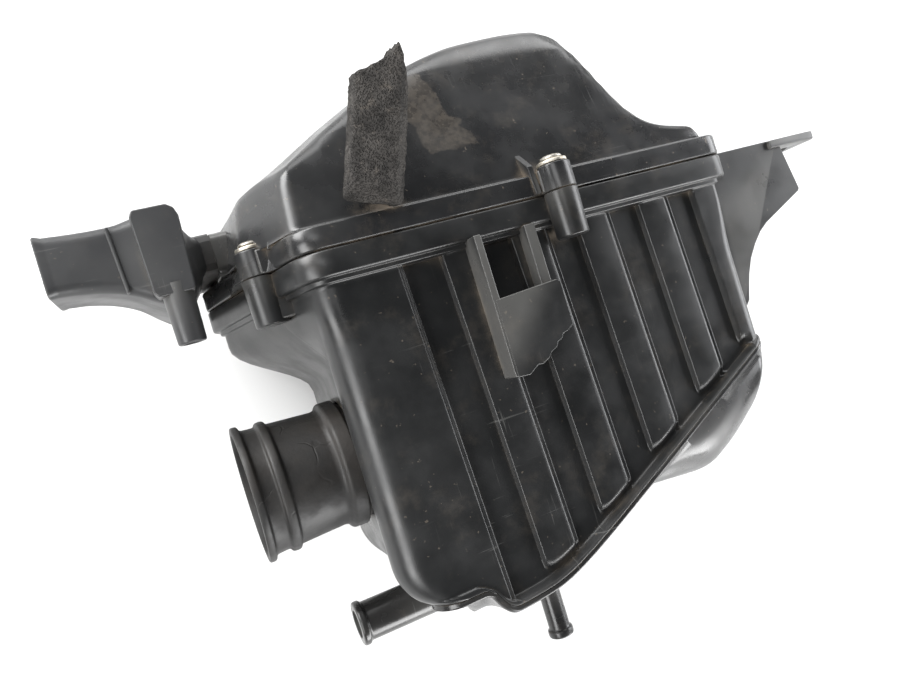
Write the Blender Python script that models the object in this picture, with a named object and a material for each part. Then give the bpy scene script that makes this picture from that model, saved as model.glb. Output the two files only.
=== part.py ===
"""Motorcycle air filter housing: lid, case, welded cap, element, ducts, seals, screws.

Metres, +Z up.  The housing lies on its back: +Z points out of the ribbed front face,
+X runs along the flange towards the bracket, +Y runs from the case to the cover.
Every function below works in millimetres with the parting plane between cover and case
at y = 0; the finished housing is then moved so the origin is the middle of its base.
"""
import math

import bpy
import bmesh
from mathutils import Matrix, Vector

MM = 0.001

# ---- driving dimensions (mm) -------------------------------------------------
GAP = 0.30                 # clearance between touching pieces
SEAM = 0.15                # half the clearance at the parting plane
FRONT_Z = 120.0            # front edge of the flange
BACK_Z = 6.6               # rear edge of the flange
FLANGE_LOW = 9.0           # case band height
FLANGE_TOP = 8.0           # cover band height
FLANGE_OUT = 4.0           # how far the flange stands proud of the walls
WALL = 2.5
RIB_DEPTH = 2.6            # recess between the raised bands of the front face
RIB_LINES = (-39.8, -25.4, -10.7, 1.6, 17.1, 29.3, 44.4, 57.5, 71.7, 83.4)
RIB_LEAN = 4.0             # the rib lines run this far left at the flange
WELD_KNEE_X = -22.0        # where the weld line starts to climb
WELD_LOW_Y = -132.0
WELD_SLOPE = 0.50
BULGE_FROM, BULGE_TO = 12.0, 54.0   # the cap swells from shallow to deep between these x
SHELF_TOP, SHELF_END = 14.0, 40.0
SPINE_Z = 60.0
BOSS_R = 5.2
BOSS_LOW, BOSS_HIGH = 17.0, 9.5
SCREW_R, SCREW_BORE = 2.3, 2.65
HEAD_R, HEAD_H = 4.3, 3.0
WASHER_R, WASHER_H = 5.2, 1.2
DUCT_Y, DUCT_Z = -71.5, 66.0
DUCT_BORE = 20.5
SNORKEL_END_X = -95.0
LEDGE_Y = -14.2             # ledge the filter element rests on
FRAME_IN = 15.0            # inner edge of the element frame, inset from the flange edge

# ---- outlines in plan (x, z, corner radius), anticlockwise from front left -----
FLANGE_CORNERS = ((-76.5, FRONT_Z, 13.0), (-87.1, 88.0, 20.0), (-104.0, 32.0, 16.0),
                  (-92.0, BACK_Z, 12.0), (90.0, BACK_Z, 16.0), (99.0, 60.0, 30.0),
                  (96.0, FRONT_Z, 7.0))
BODY_CORNERS = ((-80.0, 116.0, 10.0), (-70.2, 91.5, 4.0), (-70.0, 26.0, 12.0),
                (-60.0, 1.2, 12.0), (84.0, 1.2, 16.0), (94.0, 60.0, 30.0), (91.6, 116.0, 6.0))
INNER_CORNERS = ((-76.5, 110.9, 7.5), (-67.6, 90.0, 2.0), (-67.4, 26.0, 10.0),
                 (-58.4, 3.8, 9.5), (82.0, 3.8, 13.5), (91.4, 60.0, 27.5), (89.2, 110.9, 3.5))
ARC = 3
BACK_STEPS = 4
SIDE_STEPS = 2

# ---- cover roof height along x (front to back it is nearly level) --------------
ROOF = ((-104.0, 13.0), (-97.0, 17.5), (-88.0, 24.5), (-75.0, 33.0), (-52.0, 46.5),
        (-28.0, 58.5), (-8.0, 66.5), (8.0, 70.0), (42.0, 71.0), (50.0, 66.5), (55.0, 58.5),
        (61.5, 43.0), (69.0, 27.5), (75.0, 21.0), (87.0, 16.5), (100.0, 13.0))


def reset_scene():
    """Start from an empty file."""
    for ob in list(bpy.data.objects):
        bpy.data.objects.remove(ob, do_unlink=True)
    bpy.context.scene.unit_settings.system = 'METRIC'


def material(name, colour, rough, metal=0.0):
    """A plain Principled material."""
    mat = bpy.data.materials.new(name)
    mat.use_nodes = True
    bsdf = mat.node_tree.nodes["Principled BSDF"]
    bsdf.inputs["Base Color"].default_value = (*colour, 1.0)
    bsdf.inputs["Roughness"].default_value = rough
    bsdf.inputs["Metallic"].default_value = metal
    mat.diffuse_color = (*colour, 1.0)
    return mat


def smooth(a, b, x):
    """Smooth step from 0 at a to 1 at b."""
    t = min(1.0, max(0.0, (x - a) / (b - a)))
    return t * t * (3.0 - 2.0 * t)


def table(points, x):
    """Height at x from a table of (x, height) points, straight between them."""
    if x <= points[0][0]:
        return points[0][1]
    for (x0, y0), (x1, y1) in zip(points, points[1:]):
        if x <= x1:
            return y0 + (y1 - y0) * (x - x0) / (x1 - x0)
    return points[-1][1]


def weld_y(x, d=0.0):
    """Height of the weld line between case and cap; d softens its step inside the cap."""
    climb = max(0.0, x - WELD_KNEE_X)
    bend = 1.5 * math.exp(-abs(x - WELD_KNEE_X) / 8.0)
    step = 10.5 * smooth(40.0, 56.0, -x)
    slope = 6.0 * smooth(20.0, 80.0, -x)
    return WELD_LOW_Y + climb * WELD_SLOPE + bend + step + (slope - step) * smooth(2.0, 22.0, d)


def offset_corners(corners, d):
    """Corner points of the polygon whose edges are all moved inward by d."""
    out = []
    count = len(corners)
    for i, (x, z, rad) in enumerate(corners):
        here = Vector((x, z))
        back = (Vector(corners[i - 1][:2]) - here).normalized()
        ahead = (Vector(corners[(i + 1) % count][:2]) - here).normalized()
        half = back.angle(ahead) / 2.0
        move = (back + ahead).normalized() * (d / math.sin(half))
        out.append((x + move.x, z + move.y, rad))
    return out


def ring(corners, stations, d=0.0, grow=-1.0):
    """Rounded outline moved inward by d, with the same point count for every d.

    Corner radii change by grow per millimetre of d.  The stations are x values on the
    front edge of the unmoved outline, listed right to left.
    """
    moved = offset_corners(corners, d)
    base = front_span(corners)
    count = len(moved)
    arcs = []
    for i, (x, z, rad) in enumerate(moved):
        rad = max(1.5, rad + grow * d)
        here = Vector((x, z))
        back = (Vector(moved[i - 1][:2]) - here).normalized()
        ahead = (Vector(moved[(i + 1) % count][:2]) - here).normalized()
        half = back.angle(ahead) / 2.0
        centre = here + (back + ahead).normalized() * (rad / math.sin(half))
        start = here + back * (rad / math.tan(half)) - centre
        end = here + ahead * (rad / math.tan(half)) - centre
        start.normalize()
        end.normalize()
        arcs.append([centre + start.slerp(end, k / (ARC - 1)) * rad for k in range(ARC)])
    pts = []
    for i in range(count):
        pts.extend(arcs[i])
        a = arcs[i][-1]
        b = arcs[(i + 1) % count][0]
        if i == count - 1:
            for x in stations:
                pts.append(a.lerp(b, (base[0] - x) / (base[0] - base[1])))
        else:
            steps = BACK_STEPS if i == 3 else SIDE_STEPS
            for k in range(1, steps + 1):
                pts.append(a.lerp(b, k / (steps + 1.0)))
    return [(p.x, p.y) for p in pts]


def front_span(corners):
    """Right and left ends of the straight front edge."""
    spans = []
    count = len(corners)
    for i in (count - 1, 0):
        x, z, rad = corners[i]
        here = Vector((x, z))
        back = (Vector(corners[i - 1][:2]) - here).normalized()
        ahead = (Vector(corners[(i + 1) % count][:2]) - here).normalized()
        reach = rad / math.tan(back.angle(ahead) / 2.0)
        spans.append(x - reach if i else x + reach)
    return spans


def rib_stations():
    """Stations on the front edge, right to left, paired at each rib line."""
    xs = [-60.0, -50.0]
    for line in RIB_LINES:
        xs.extend((line - 0.7, line + 0.7))
    return sorted(xs, reverse=True)


def lean(x, y):
    """Sideways shift of the rib lines at (x, y), growing towards the flange."""
    return RIB_LEAN * max(0.0, 1.0 - (-y - 10.0) / 118.0) * smooth(-62.0, -52.0, x)


RIB_X = rib_stations()
RIB_TOP_X = [x - lean(x, -10.0) for x in RIB_X]
LID_X = (81.0, 74.0, 68.0, 63.0, 58.0, 53.0, 46.0, 30.0, 12.0, -6.0, -24.0, -40.0, -54.0)
SIDE = 7 * ARC + 5 * SIDE_STEPS + BACK_STEPS
COUNT = SIDE + len(RIB_X)


def raised(x):
    """1 on the raised bands and the plain left area, 0 in the recesses."""
    if x < RIB_LINES[0] or x > RIB_LINES[-1]:
        return 1.0
    for a, b in zip(RIB_LINES[1::2], RIB_LINES[2::2]):
        if a < x < b:
            return 1.0
    return 0.0


def mesh_object(name, verts, faces, mat):
    """Mesh object from millimetre coordinates, normals outward."""
    me = bpy.data.meshes.new(name)
    me.from_pydata([Vector(v) * MM for v in verts], [], faces)
    bm = bmesh.new()
    bm.from_mesh(me)
    bmesh.ops.remove_doubles(bm, verts=bm.verts, dist=0.000001)
    bmesh.ops.recalc_face_normals(bm, faces=bm.faces)
    if bm.calc_volume(signed=True) < 0.0:
        bmesh.ops.reverse_faces(bm, faces=bm.faces)
    bm.to_mesh(me)
    bm.free()
    me.materials.append(mat)
    ob = bpy.data.objects.new(name, me)
    bpy.context.collection.objects.link(ob)
    return ob


def loft(name, columns, mat, closed=True):
    """Skin closed column profiles into a ring; open profiles get capped at both ends."""
    rows = len(columns[0])
    count = len(columns)
    verts = [p for col in columns for p in col]
    faces = []
    steps = rows if closed else rows - 1
    for i in range(count):
        j = (i + 1) % count
        for k in range(steps):
            m = (k + 1) % rows
            faces.append((i * rows + k, j * rows + k, j * rows + m, i * rows + m))
    if not closed:
        for k, turn in ((0, 1), (rows - 1, -1)):
            pole = (Vector(columns[0][k]) - Vector(columns[count // 2][k])).length < 0.001
            if not pole:
                faces.append([i * rows + k for i in range(count)][::turn])
    return mesh_object(name, verts, faces, mat)


def zip_strip(points):
    """Triangles (index triples) filling a long thin ring, paired up along x."""
    n = len(points)
    left = min(range(n), key=lambda i: points[i][0])
    right = max(range(n), key=lambda i: points[i][0])
    one = [left]
    while one[-1] != right:
        one.append((one[-1] + 1) % n)
    two = [left]
    while two[-1] != right:
        two.append((two[-1] - 1) % n)
    tris = []
    a = b = 0
    while a < len(one) - 1 or b < len(two) - 1:
        go_a = b == len(two) - 1
        if a < len(one) - 1 and b < len(two) - 1:
            go_a = points[one[a + 1]][0] < points[two[b + 1]][0]
        if go_a:
            tri = (one[a], one[a + 1], two[b])
            a += 1
        else:
            tri = (one[a], two[b + 1], two[b])
            b += 1
        if len(set(tri)) == 3:
            tris.append(tri)
    return tris


def dished(name, outer, rim, thick, side, mat):
    """Dish with an even wall: outer columns run from the middle out, rim joins the skins.

    side is +1 when the dish bulges towards +Y and -1 when it bulges towards -Y.
    """
    count = len(outer)
    rows = len(outer[0])
    pts = [[Vector(p) for p in col] for col in outer]
    inner = []
    for i in range(count):
        col = []
        for k in range(rows):
            around = pts[(i + 1) % count][k] - pts[i - 1][k]
            across = pts[i][min(k + 1, rows - 1)] - pts[i][max(k - 1, 0)]
            n = around.cross(across).normalized()
            if n.dot(Vector((0.0, side, 0.0)) + (pts[i][k] - pts[i][0]) * 0.02) < 0.0:
                n = -n
            col.append(pts[i][k] - n * thick)
        inner.append(col)
    cols = [pts[i] + [Vector(p) for p in rim[i]] + inner[i][::-1] for i in range(count)]
    size = len(cols[0])
    verts = [p for col in cols for p in col]
    faces = []
    for i in range(count):
        j = (i + 1) % count
        for k in range(size - 1):
            faces.append((i * size + k, j * size + k, j * size + k + 1, i * size + k + 1))
    for tri in zip_strip([col[0] for col in pts]):
        faces.append(tuple(t * size for t in tri))
        faces.append(tuple(t * size + size - 1 for t in tri[::-1]))
    return mesh_object(name, verts, faces, mat)


def lathe(name, profile, centre, axis, mat, steps=24, ring=True):
    """Revolve (radius, along) points about an axis; ring=True closes the profile."""
    rot = Vector((0.0, 0.0, 1.0)).rotation_difference(Vector(axis)).to_matrix()
    cols = []
    for i in range(steps):
        a = 2.0 * math.pi * i / steps
        col = []
        for rad, along in profile:
            local = Vector((rad * math.cos(a), rad * math.sin(a), along))
            col.append(Vector(centre) + rot @ local)
        cols.append(col)
    return loft(name, cols, mat, closed=ring)


def box(name, lo, hi, mat):
    """Axis-aligned block."""
    verts = [(x, y, z) for x in (lo[0], hi[0]) for y in (lo[1], hi[1]) for z in (lo[2], hi[2])]
    faces = [(0, 1, 3, 2), (4, 6, 7, 5), (0, 4, 5, 1), (2, 3, 7, 6), (0, 2, 6, 4), (1, 5, 7, 3)]
    return mesh_object(name, verts, faces, mat)


def prism(name, outline, lo, hi, mat, axis='Z'):
    """Extrude a closed outline (two in-plane coordinates) along one axis."""
    def place(a, b, c):
        return {'Z': (a, b, c), 'Y': (a, c, b), 'X': (c, a, b)}[axis]
    n = len(outline)
    verts = [place(a, b, lo) for a, b in outline] + [place(a, b, hi) for a, b in outline]
    faces = [tuple(range(n)), tuple(range(2 * n - 1, n - 1, -1))]
    for i in range(n):
        j = (i + 1) % n
        faces.append((i, j, n + j, n + i))
    return mesh_object(name, verts, faces, mat)


def combine(target, other, mode):
    """Exact boolean, applied, with the tool body removed."""
    mod = target.modifiers.new("bool", 'BOOLEAN')
    mod.operation = mode
    mod.solver = 'EXACT'
    mod.object = other
    graph = bpy.context.evaluated_depsgraph_get()
    done = bpy.data.meshes.new_from_object(target.evaluated_get(graph))
    target.modifiers.clear()
    old = target.data
    mats = [m for m in old.materials]
    target.data = done
    target.data.name = target.name
    done.materials.clear()
    done.materials.append(mats[0])
    for poly in done.polygons:
        poly.material_index = 0
    bpy.data.meshes.remove(old)
    bpy.data.objects.remove(other, do_unlink=True)


def finish(ob, angle=32.0):
    """Merge tiny leftovers, triangulate and set the shading."""
    bm = bmesh.new()
    bm.from_mesh(ob.data)
    bmesh.ops.remove_doubles(bm, verts=bm.verts, dist=0.00002)
    bmesh.ops.dissolve_degenerate(bm, edges=bm.edges, dist=0.00001)
    bmesh.ops.triangulate(bm, faces=bm.faces)
    bm.to_mesh(ob.data)
    bm.free()
    ob.data.shade_smooth()
    ob.data.set_sharp_from_angle(angle=math.radians(angle))


def pivot(ob, point):
    """Move the object's origin without moving its surface."""
    p = Vector(point) * MM
    ob.data.transform(Matrix.Translation(-p))
    ob.location = p


# ---- screw positions on the flange edge ----------------------------------------
def boss_points():
    """Six screw axes just outside the flange edge."""
    proud = 1.4
    return [(-87.0, 92.2), (19.0, FRONT_Z + proud), (99.8, 78.0), (62.0, BACK_Z - proud),
            (-20.0, BACK_Z - proud), (-84.0, BACK_Z - proud)]


# ---- lower case ---------------------------------------------------------------
def blend(a, b, w):
    return a[0] + (b[0] - a[0]) * w, a[1] + (b[1] - a[1]) * w


def front_relief(x, y, low):
    """How far the front face is set back at (x, y), in mm."""
    keep = raised(x)
    rise = smooth(low + 6.0, low + 12.0, y) if x > RIB_LINES[0] else 1.0
    return RIB_DEPTH * (1.0 - keep * rise)


def build_case(mat):
    edge = ring(FLANGE_CORNERS, RIB_TOP_X)
    wall = ring(FLANGE_CORNERS, RIB_TOP_X, FLANGE_OUT)
    wall_in = ring(FLANGE_CORNERS, RIB_TOP_X, FLANGE_OUT + WALL + RIB_DEPTH)
    body = ring(BODY_CORNERS, RIB_X)
    lip = ring(BODY_CORNERS, RIB_X, -1.2)
    body_in = ring(INNER_CORNERS, RIB_X)
    ledge = ring(FLANGE_CORNERS, RIB_TOP_X, 13.5)
    seat = ring(FLANGE_CORNERS, RIB_TOP_X, 9.2)
    groove = [ring(FLANGE_CORNERS, RIB_TOP_X, d) for d in (7.6, 5.2)]
    cols = []
    for i in range(COUNT):
        front = i >= SIDE
        x0 = body[i][0]
        low = weld_y(x0)
        mid = (low + 18.0 - SHELF_END) * 0.5
        prof = [(edge[i][0], -SEAM, edge[i][1]), (edge[i][0], -FLANGE_LOW, edge[i][1])]
        for y in (-FLANGE_LOW, -12.0, -15.0, -23.0, -31.0, -SHELF_END, mid,
                  low + 12.0, low + 9.0, low + 6.0):
            wx, wz = blend(wall[i], body[i], smooth(SHELF_TOP, SHELF_END, -y))
            if front:
                wx = x0 - lean(x0, y)
                wz -= front_relief(x0, y, low)
            prof.append((wx, y, wz))
        drop = RIB_DEPTH if front and x0 > RIB_LINES[0] else 0.0
        prof.append((body[i][0], low + 3.4, body[i][1] - drop))
        prof.append((lip[i][0], low + 3.0, lip[i][1]))
        prof.append((lip[i][0], low + SEAM, lip[i][1]))
        for y in (low + SEAM, mid, -SHELF_END, -31.0, -23.0, -17.0):
            ix, iz = blend(wall_in[i], body_in[i], smooth(SHELF_TOP, SHELF_END, -y))
            prof.append((ix, y, iz))
        # seat ledge for the element, then the seal groove in the flange top
        for loop, y in ((ledge, -17.0), (ledge, LEDGE_Y), (seat, LEDGE_Y), (seat, -SEAM),
                        (groove[0], -SEAM), (groove[0], -2.8), (groove[1], -2.8),
                        (groove[1], -SEAM)):
            prof.append((loop[i][0], y, loop[i][1]))
        cols.append(prof)
    case = loft("lower_case", cols, mat)

    # bosses with blind threads
    for bx, bz in boss_points():
        body = lathe("t", ((0.0, -BOSS_LOW), (BOSS_R - 0.8, -BOSS_LOW), (BOSS_R, -BOSS_LOW + 1.0),
                           (BOSS_R, -0.2), (0.0, -0.2)), (bx, 0, bz), (0, 1, 0), mat, 14, False)
        combine(case, body, 'UNION')
    for bx, bz in boss_points():
        bore = lathe("t", ((0.0, -BOSS_LOW + 2.0), (SCREW_BORE, -BOSS_LOW + 2.0),
                           (SCREW_BORE, 1.0), (0.0, 1.0)), (bx, 0, bz), (0, 1, 0), mat, 12, False)
        combine(case, bore, 'DIFFERENCE')

    # cable clip on the ribbed face: side wall, strap and hook plate
    parts = [
        box("t", (-20.4, -58.0, 112.0), (-17.6, -8.5, 125.5), mat),
        box("t", (1.0, -36.0, 112.0), (5.2, -8.7, 121.6), mat),
        prism("t", ((-18.5, -31.0), (6.6, -30.0), (6.2, -47.0), (1.0, -50.0), (-9.5, -56.5),
                    (-15.0, -59.0), (-18.5, -58.5)), 123.0, 125.6, mat),
        box("t", (3.4, -47.0, 112.0), (6.4, -30.2, 125.0), mat),
    ]
    for part in parts:
        combine(case, part, 'UNION')

    # side bracket: web, end tab with its hole, gusset
    web = ((88.0, -10.5), (89.0, -70.0), (99.0, -69.0), (104.5, -66.0), (107.0, -61.0),
           (110.5, -51.0), (118.0, -39.0), (128.5, -31.0), (150.5, -20.5), (148.5, 3.4),
           (106.5, 3.4), (106.5, -8.0), (100.0, -10.5))
    combine(case, prism("t", web, 92.0, 95.2, mat), 'UNION')
    tab = ((144.0, 70.0), (168.0, 70.0), (174.5, 76.0), (174.5, 91.0), (168.5, 97.0),
           (144.0, 97.0))
    combine(case, prism("t", tab, -0.4, 3.2, mat, 'Y'), 'UNION')
    hole = lathe("t", ((0.0, -6.0), (3.4, -6.0), (3.4, 12.0), (0.0, 12.0)), (162.0, 0, 84.0),
                 (0, 1, 0), mat, 14, False)
    combine(case, hole, 'DIFFERENCE')
    lug = ((144.0, 0.5), (154.5, 0.5), (153.5, -14.0), (149.0, -17.0), (144.0, -17.0))
    combine(case, prism("t", lug, 82.0, 85.0, mat), 'UNION')
    combine(case, box("t", (145.5, -16.0, 83.0), (148.8, 2.0, 93.5), mat), 'UNION')

    # outlet hole through the left wall
    hole = lathe("t", ((0.0, -12.0), (22.3, -12.0), (22.3, 12.0), (0.0, 12.0)),
                 (-69.0, DUCT_Y, DUCT_Z), (1, 0, 0), mat, 24, False)
    combine(case, hole, 'DIFFERENCE')
    finish(case)
    return case


# ---- bottom cap ---------------------------------------------------------------
def cap_normal(x):
    """Unit direction in which the cap bulges at station x."""
    w = smooth(WELD_KNEE_X - 12.0, WELD_KNEE_X + 12.0, x)
    d = Vector((WELD_SLOPE * w, -1.0))
    d.normalize()
    return d


def inward(point, spine, d):
    """Point moved d towards the middle line of the plan, which runs along x."""
    x, z = point
    cx = max(spine[0], min(spine[1], x))
    far = math.hypot(x - cx, z - SPINE_Z)
    return x + (cx - x) * d / far, z + (SPINE_Z - z) * d / far


def beside(point, spine, r):
    """Point at distance r from the middle line, on the side of the given point."""
    x, z = point
    cx = max(spine[0], min(spine[1], x))
    far = math.hypot(x - cx, z - SPINE_Z)
    return cx + (x - cx) * r / far, SPINE_Z + (z - SPINE_Z) * r / far


def cap_depth(x):
    return 13.0 + 11.0 * smooth(BULGE_FROM, BULGE_TO, x)


def build_cap(mat):
    depths = (1.2, 3.5, 7.5, 14.0, 24.0)
    body = ring(BODY_CORNERS, RIB_X)
    outer = [[inward(p, (-36.0, 50.0), d) for p in body] for d in depths]
    lip = ring(BODY_CORNERS, RIB_X, -1.2)
    body_in = ring(INNER_CORNERS, RIB_X)

    def dish(x, z, d):
        reach = min(1.0, d / 34.0)
        full = smooth(BULGE_FROM, BULGE_TO, x)
        share = full * math.sqrt(1.0 - (1.0 - reach) ** 2.2) + (1.0 - full) * reach ** 1.7
        n = cap_normal(x)
        b = 3.2 + share * cap_depth(x)
        return x + n.x * b, weld_y(x, d) + n.y * b, z

    cols, rims = [], []
    for i in range(COUNT):
        prof = []
        for r in (6.0, 13.0):
            x, z = beside(body[i], (-36.0, 50.0), r)
            prof.append(dish(x, z, 34.0))
        for k in range(len(depths) - 1, -1, -1):
            prof.append(dish(*outer[k][i], depths[k]))
        cols.append(prof)
        x, z = body[i]
        n = cap_normal(x)
        low = weld_y(x)
        rims.append([(x + n.x * 3.4, low + n.y * 3.4, z),
                     (lip[i][0] + n.x * 3.0, low + n.y * 3.0, lip[i][1]),
                     (lip[i][0], low - SEAM, lip[i][1]),
                     (body_in[i][0], low - SEAM, body_in[i][1])])
    cap = dished("bottom_cap", cols, rims, WALL, -1.0, mat)

    # breather spigot, pointing left, and drain nipple, pointing down
    spig = lathe("t", ((0.0, -22.0), (8.6, -22.0), (8.6, -19.5), (7.6, -18.8), (7.6, 14.0),
                       (0.0, 14.0)), (-62.0, -134.0, 58.0), (1, 0, 0), mat, 18, False)
    combine(cap, spig, 'UNION')
    drain = lathe("t", ((0.0, -160.5), (4.9, -160.5), (4.9, -157.6), (4.1, -157.0), (4.1, -136.0),
                        (0.0, -136.0)), (-18.0, 0, 86.0), (0, 1, 0), mat, 14, False)
    combine(cap, drain, 'UNION')
    bore = lathe("t", ((0.0, -24.0), (5.5, -24.0), (5.5, 12.0), (0.0, 12.0)),
                 (-62.0, -134.0, 58.0), (1, 0, 0), mat, 16, False)
    combine(cap, bore, 'DIFFERENCE')
    bore = lathe("t", ((0.0, -163.0), (2.5, -163.0), (2.5, -133.0), (0.0, -133.0)),
                 (-18.0, 0, 86.0), (0, 1, 0), mat, 12, False)
    combine(cap, bore, 'DIFFERENCE')
    finish(cap)
    return cap


# ---- upper cover --------------------------------------------------------------
def soft_min(a, b, r):
    """Smooth minimum of two heights."""
    h = max(0.0, min(1.0, 0.5 + 0.5 * (b - a) / r))
    return b + (a - b) * h - r * h * (1.0 - h)


def roof(x, z):
    """Outer roof height, falling off slightly towards front and back."""
    fall = 7.0 * smooth(86.0, 118.0, z) + 5.0 * smooth(40.0, 8.0, z) * (1 if z < 40 else 0)
    return table(ROOF, x) - fall * smooth(14.0, 40.0, table(ROOF, x))


def build_cover(mat):
    insets = (4.6, 6.4, 9.0, 12.5, 18.0, 27.0)
    edge = ring(FLANGE_CORNERS, LID_X)
    foot = ring(FLANGE_CORNERS, LID_X, FLANGE_OUT)
    seat = ring(FLANGE_CORNERS, LID_X, 9.2)
    outer = [[inward(p, (-48.0, 42.0), d - FLANGE_OUT) for p in foot] for d in insets]

    def height(x, z, d):
        return soft_min(FLANGE_TOP + (d - FLANGE_OUT) * 4.2, roof(x, z), 9.0)

    cols, rims = [], []
    for i in range(len(edge)):
        prof = []
        for r in (6.0, 13.0):
            x, z = beside(foot[i], (-48.0, 42.0), r)
            prof.append((x, height(x, z, 48.0 - r), z))
        for k in range(len(insets) - 1, -1, -1):
            x, z = outer[k][i]
            y = height(x, z, insets[k])
            prof.append((x, max(y, FLANGE_TOP + (insets[k] - FLANGE_OUT) * 0.5), z))
        cols.append(prof)
        rims.append([(foot[i][0], FLANGE_TOP, foot[i][1]), (edge[i][0], FLANGE_TOP, edge[i][1]),
                     (edge[i][0], SEAM, edge[i][1]), (seat[i][0], SEAM, seat[i][1])])
    cover = dished("upper_cover", cols, rims, WALL, 1.0, mat)

    for bx, bz in boss_points():
        body = lathe("t", ((0.0, 0.2), (BOSS_R, 0.2), (BOSS_R, BOSS_HIGH - 0.6),
                           (BOSS_R - 0.6, BOSS_HIGH), (0.0, BOSS_HIGH)),
                     (bx, 0, bz), (0, 1, 0), mat, 14, False)
        combine(cover, body, 'UNION')

    # gussets beside the two front bosses
    fin = ((-78.5, 7.0), (-78.5, 17.0), (-80.5, 17.0), (-88.0, 9.0), (-88.0, 7.0))
    combine(cover, prism("t", fin, 98.0, 100.6, mat), 'UNION')
    fin = ((106.0, 7.0), (106.0, 20.5), (113.5, 20.5), (119.0, 8.5), (119.0, 7.0))
    fin = [(y, z) for z, y in fin]
    combine(cover, prism("t", fin, 7.5, 10.0, mat, 'X'), 'UNION')

    # opening for the snorkel through the left end, and the collar around it
    hole = ring_prism("t", (9.7, 25.1, 20.1, 67.9), -104.0, -78.6, mat, 4.0)
    combine(cover, hole, 'DIFFERENCE')
    collar = tube_x("t", [(-107.0, 7.7, 27.0, 18.0, 70.0, 4.5), (-86.1, 7.7, 27.0, 18.0, 70.0, 4.5),
                          (-86.1, 9.5, 25.3, 19.9, 68.1, 3.6), (-107.0, 9.5, 25.3, 19.9, 68.1, 3.6)],
                    mat)
    combine(cover, collar, 'UNION')
    for bx, bz in boss_points():
        bore = lathe("t", ((0.0, -1.0), (SCREW_BORE, -1.0), (SCREW_BORE, 12.0), (0.0, 12.0)),
                     (bx, 0, bz), (0, 1, 0), mat, 12, False)
        combine(cover, bore, 'DIFFERENCE')
    finish(cover)
    return cover


def rect_loop(y0, y1, z0, z1, rad, x):
    """Rounded rectangle in the YZ plane at x, twelve points."""
    pts = []
    spots = ((y1 - rad, z1 - rad, 0), (y0 + rad, z1 - rad, 90), (y0 + rad, z0 + rad, 180),
             (y1 - rad, z0 + rad, 270))
    for cy, cz, start in spots:
        for k in (0, 45, 90):
            a = math.radians(start + k)
            pts.append((x, cy + rad * math.cos(a), cz + rad * math.sin(a)))
    return pts


def ring_prism(name, size, x0, x1, mat, rad=3.5):
    """Solid rounded bar along X."""
    a = rect_loop(*size, rad, x0)
    b = rect_loop(*size, rad, x1)
    cols = [[p, q] for p, q in zip(a, b)]
    return loft(name, cols, mat, closed=False)


def tube_x(name, sections, mat):
    """Closed rectangular tube: sections run out along the outside and back inside."""
    loops = [rect_loop(y0, y1, z0, z1, rad, x) for x, y0, y1, z0, z1, rad in sections]
    cols = [[loop[i] for loop in loops] for i in range(12)]
    return loft(name, cols, mat)


# ---- small parts --------------------------------------------------------------
def build_snorkel(mat):
    outer = [(-152.0, 9.0, 31.5, 60.0, 92.5, 3.0), (-149.5, 9.4, 31.0, 60.5, 92.0, 3.0),
             (-147.0, 9.8, 29.8, 61.0, 91.0, 4.0), (-131.0, 5.5, 29.0, 50.0, 90.5, 4.0),
             (-122.0, 0.5, 29.6, 36.0, 90.5, 4.5), (-110.0, -2.5, 29.8, 18.5, 91.0, 4.5),
             (-109.0, -2.2, 29.5, 18.8, 90.6, 4.5), (-109.0, 11.8, 23.0, 22.1, 65.9, 3.0),
             (SNORKEL_END_X, 11.8, 23.0, 22.1, 65.9, 3.0)]
    inner = [(SNORKEL_END_X, 13.6, 21.2, 24.0, 64.0, 2.0), (-111.5, 13.6, 21.2, 24.0, 64.0, 2.0),
             (-123.0, 6.0, 26.6, 40.5, 86.5, 2.5), (-132.0, 8.6, 26.4, 54.0, 88.0, 3.0),
             (-147.0, 12.0, 27.6, 63.2, 88.8, 3.0), (-152.0, 11.4, 29.2, 62.3, 90.2, 2.5)]
    snorkel = tube_x("intake_snorkel", outer + inner, mat)
    pad = ((-119.5, 30.8), (-107.8, 30.6), (-106.4, 28.0), (-107.6, 1.4), (-119.4, 2.2))
    combine(snorkel, prism("t", pad, 84.0, 96.5, mat), 'UNION')
    peg = lathe("t", ((0.0, -15.5), (4.8, -15.5), (4.8, 6.0), (0.0, 6.0)),
                (-113.8, 0, 91.5), (0, 1, 0), mat, 14, False)
    combine(snorkel, peg, 'UNION')
    bore = lathe("t", ((0.0, -17.0), (2.9, -17.0), (2.9, 1.0), (0.0, 1.0)),
                 (-113.8, 0, 91.5), (0, 1, 0), mat, 12, False)
    combine(snorkel, bore, 'DIFFERENCE')
    finish(snorkel)
    return snorkel


def build_snorkel_seal(mat):
    outer = [(-106.0, 9.8, 25.0, 20.2, 67.8, 3.4), (-97.0, 9.8, 25.0, 20.2, 67.8, 3.4)]
    inner = [(-97.0, 11.5, 23.3, 21.8, 66.2, 3.2), (-106.0, 11.5, 23.3, 21.8, 66.2, 3.2)]
    seal = tube_x("snorkel_seal", outer + inner, mat)
    finish(seal)
    return seal


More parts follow.
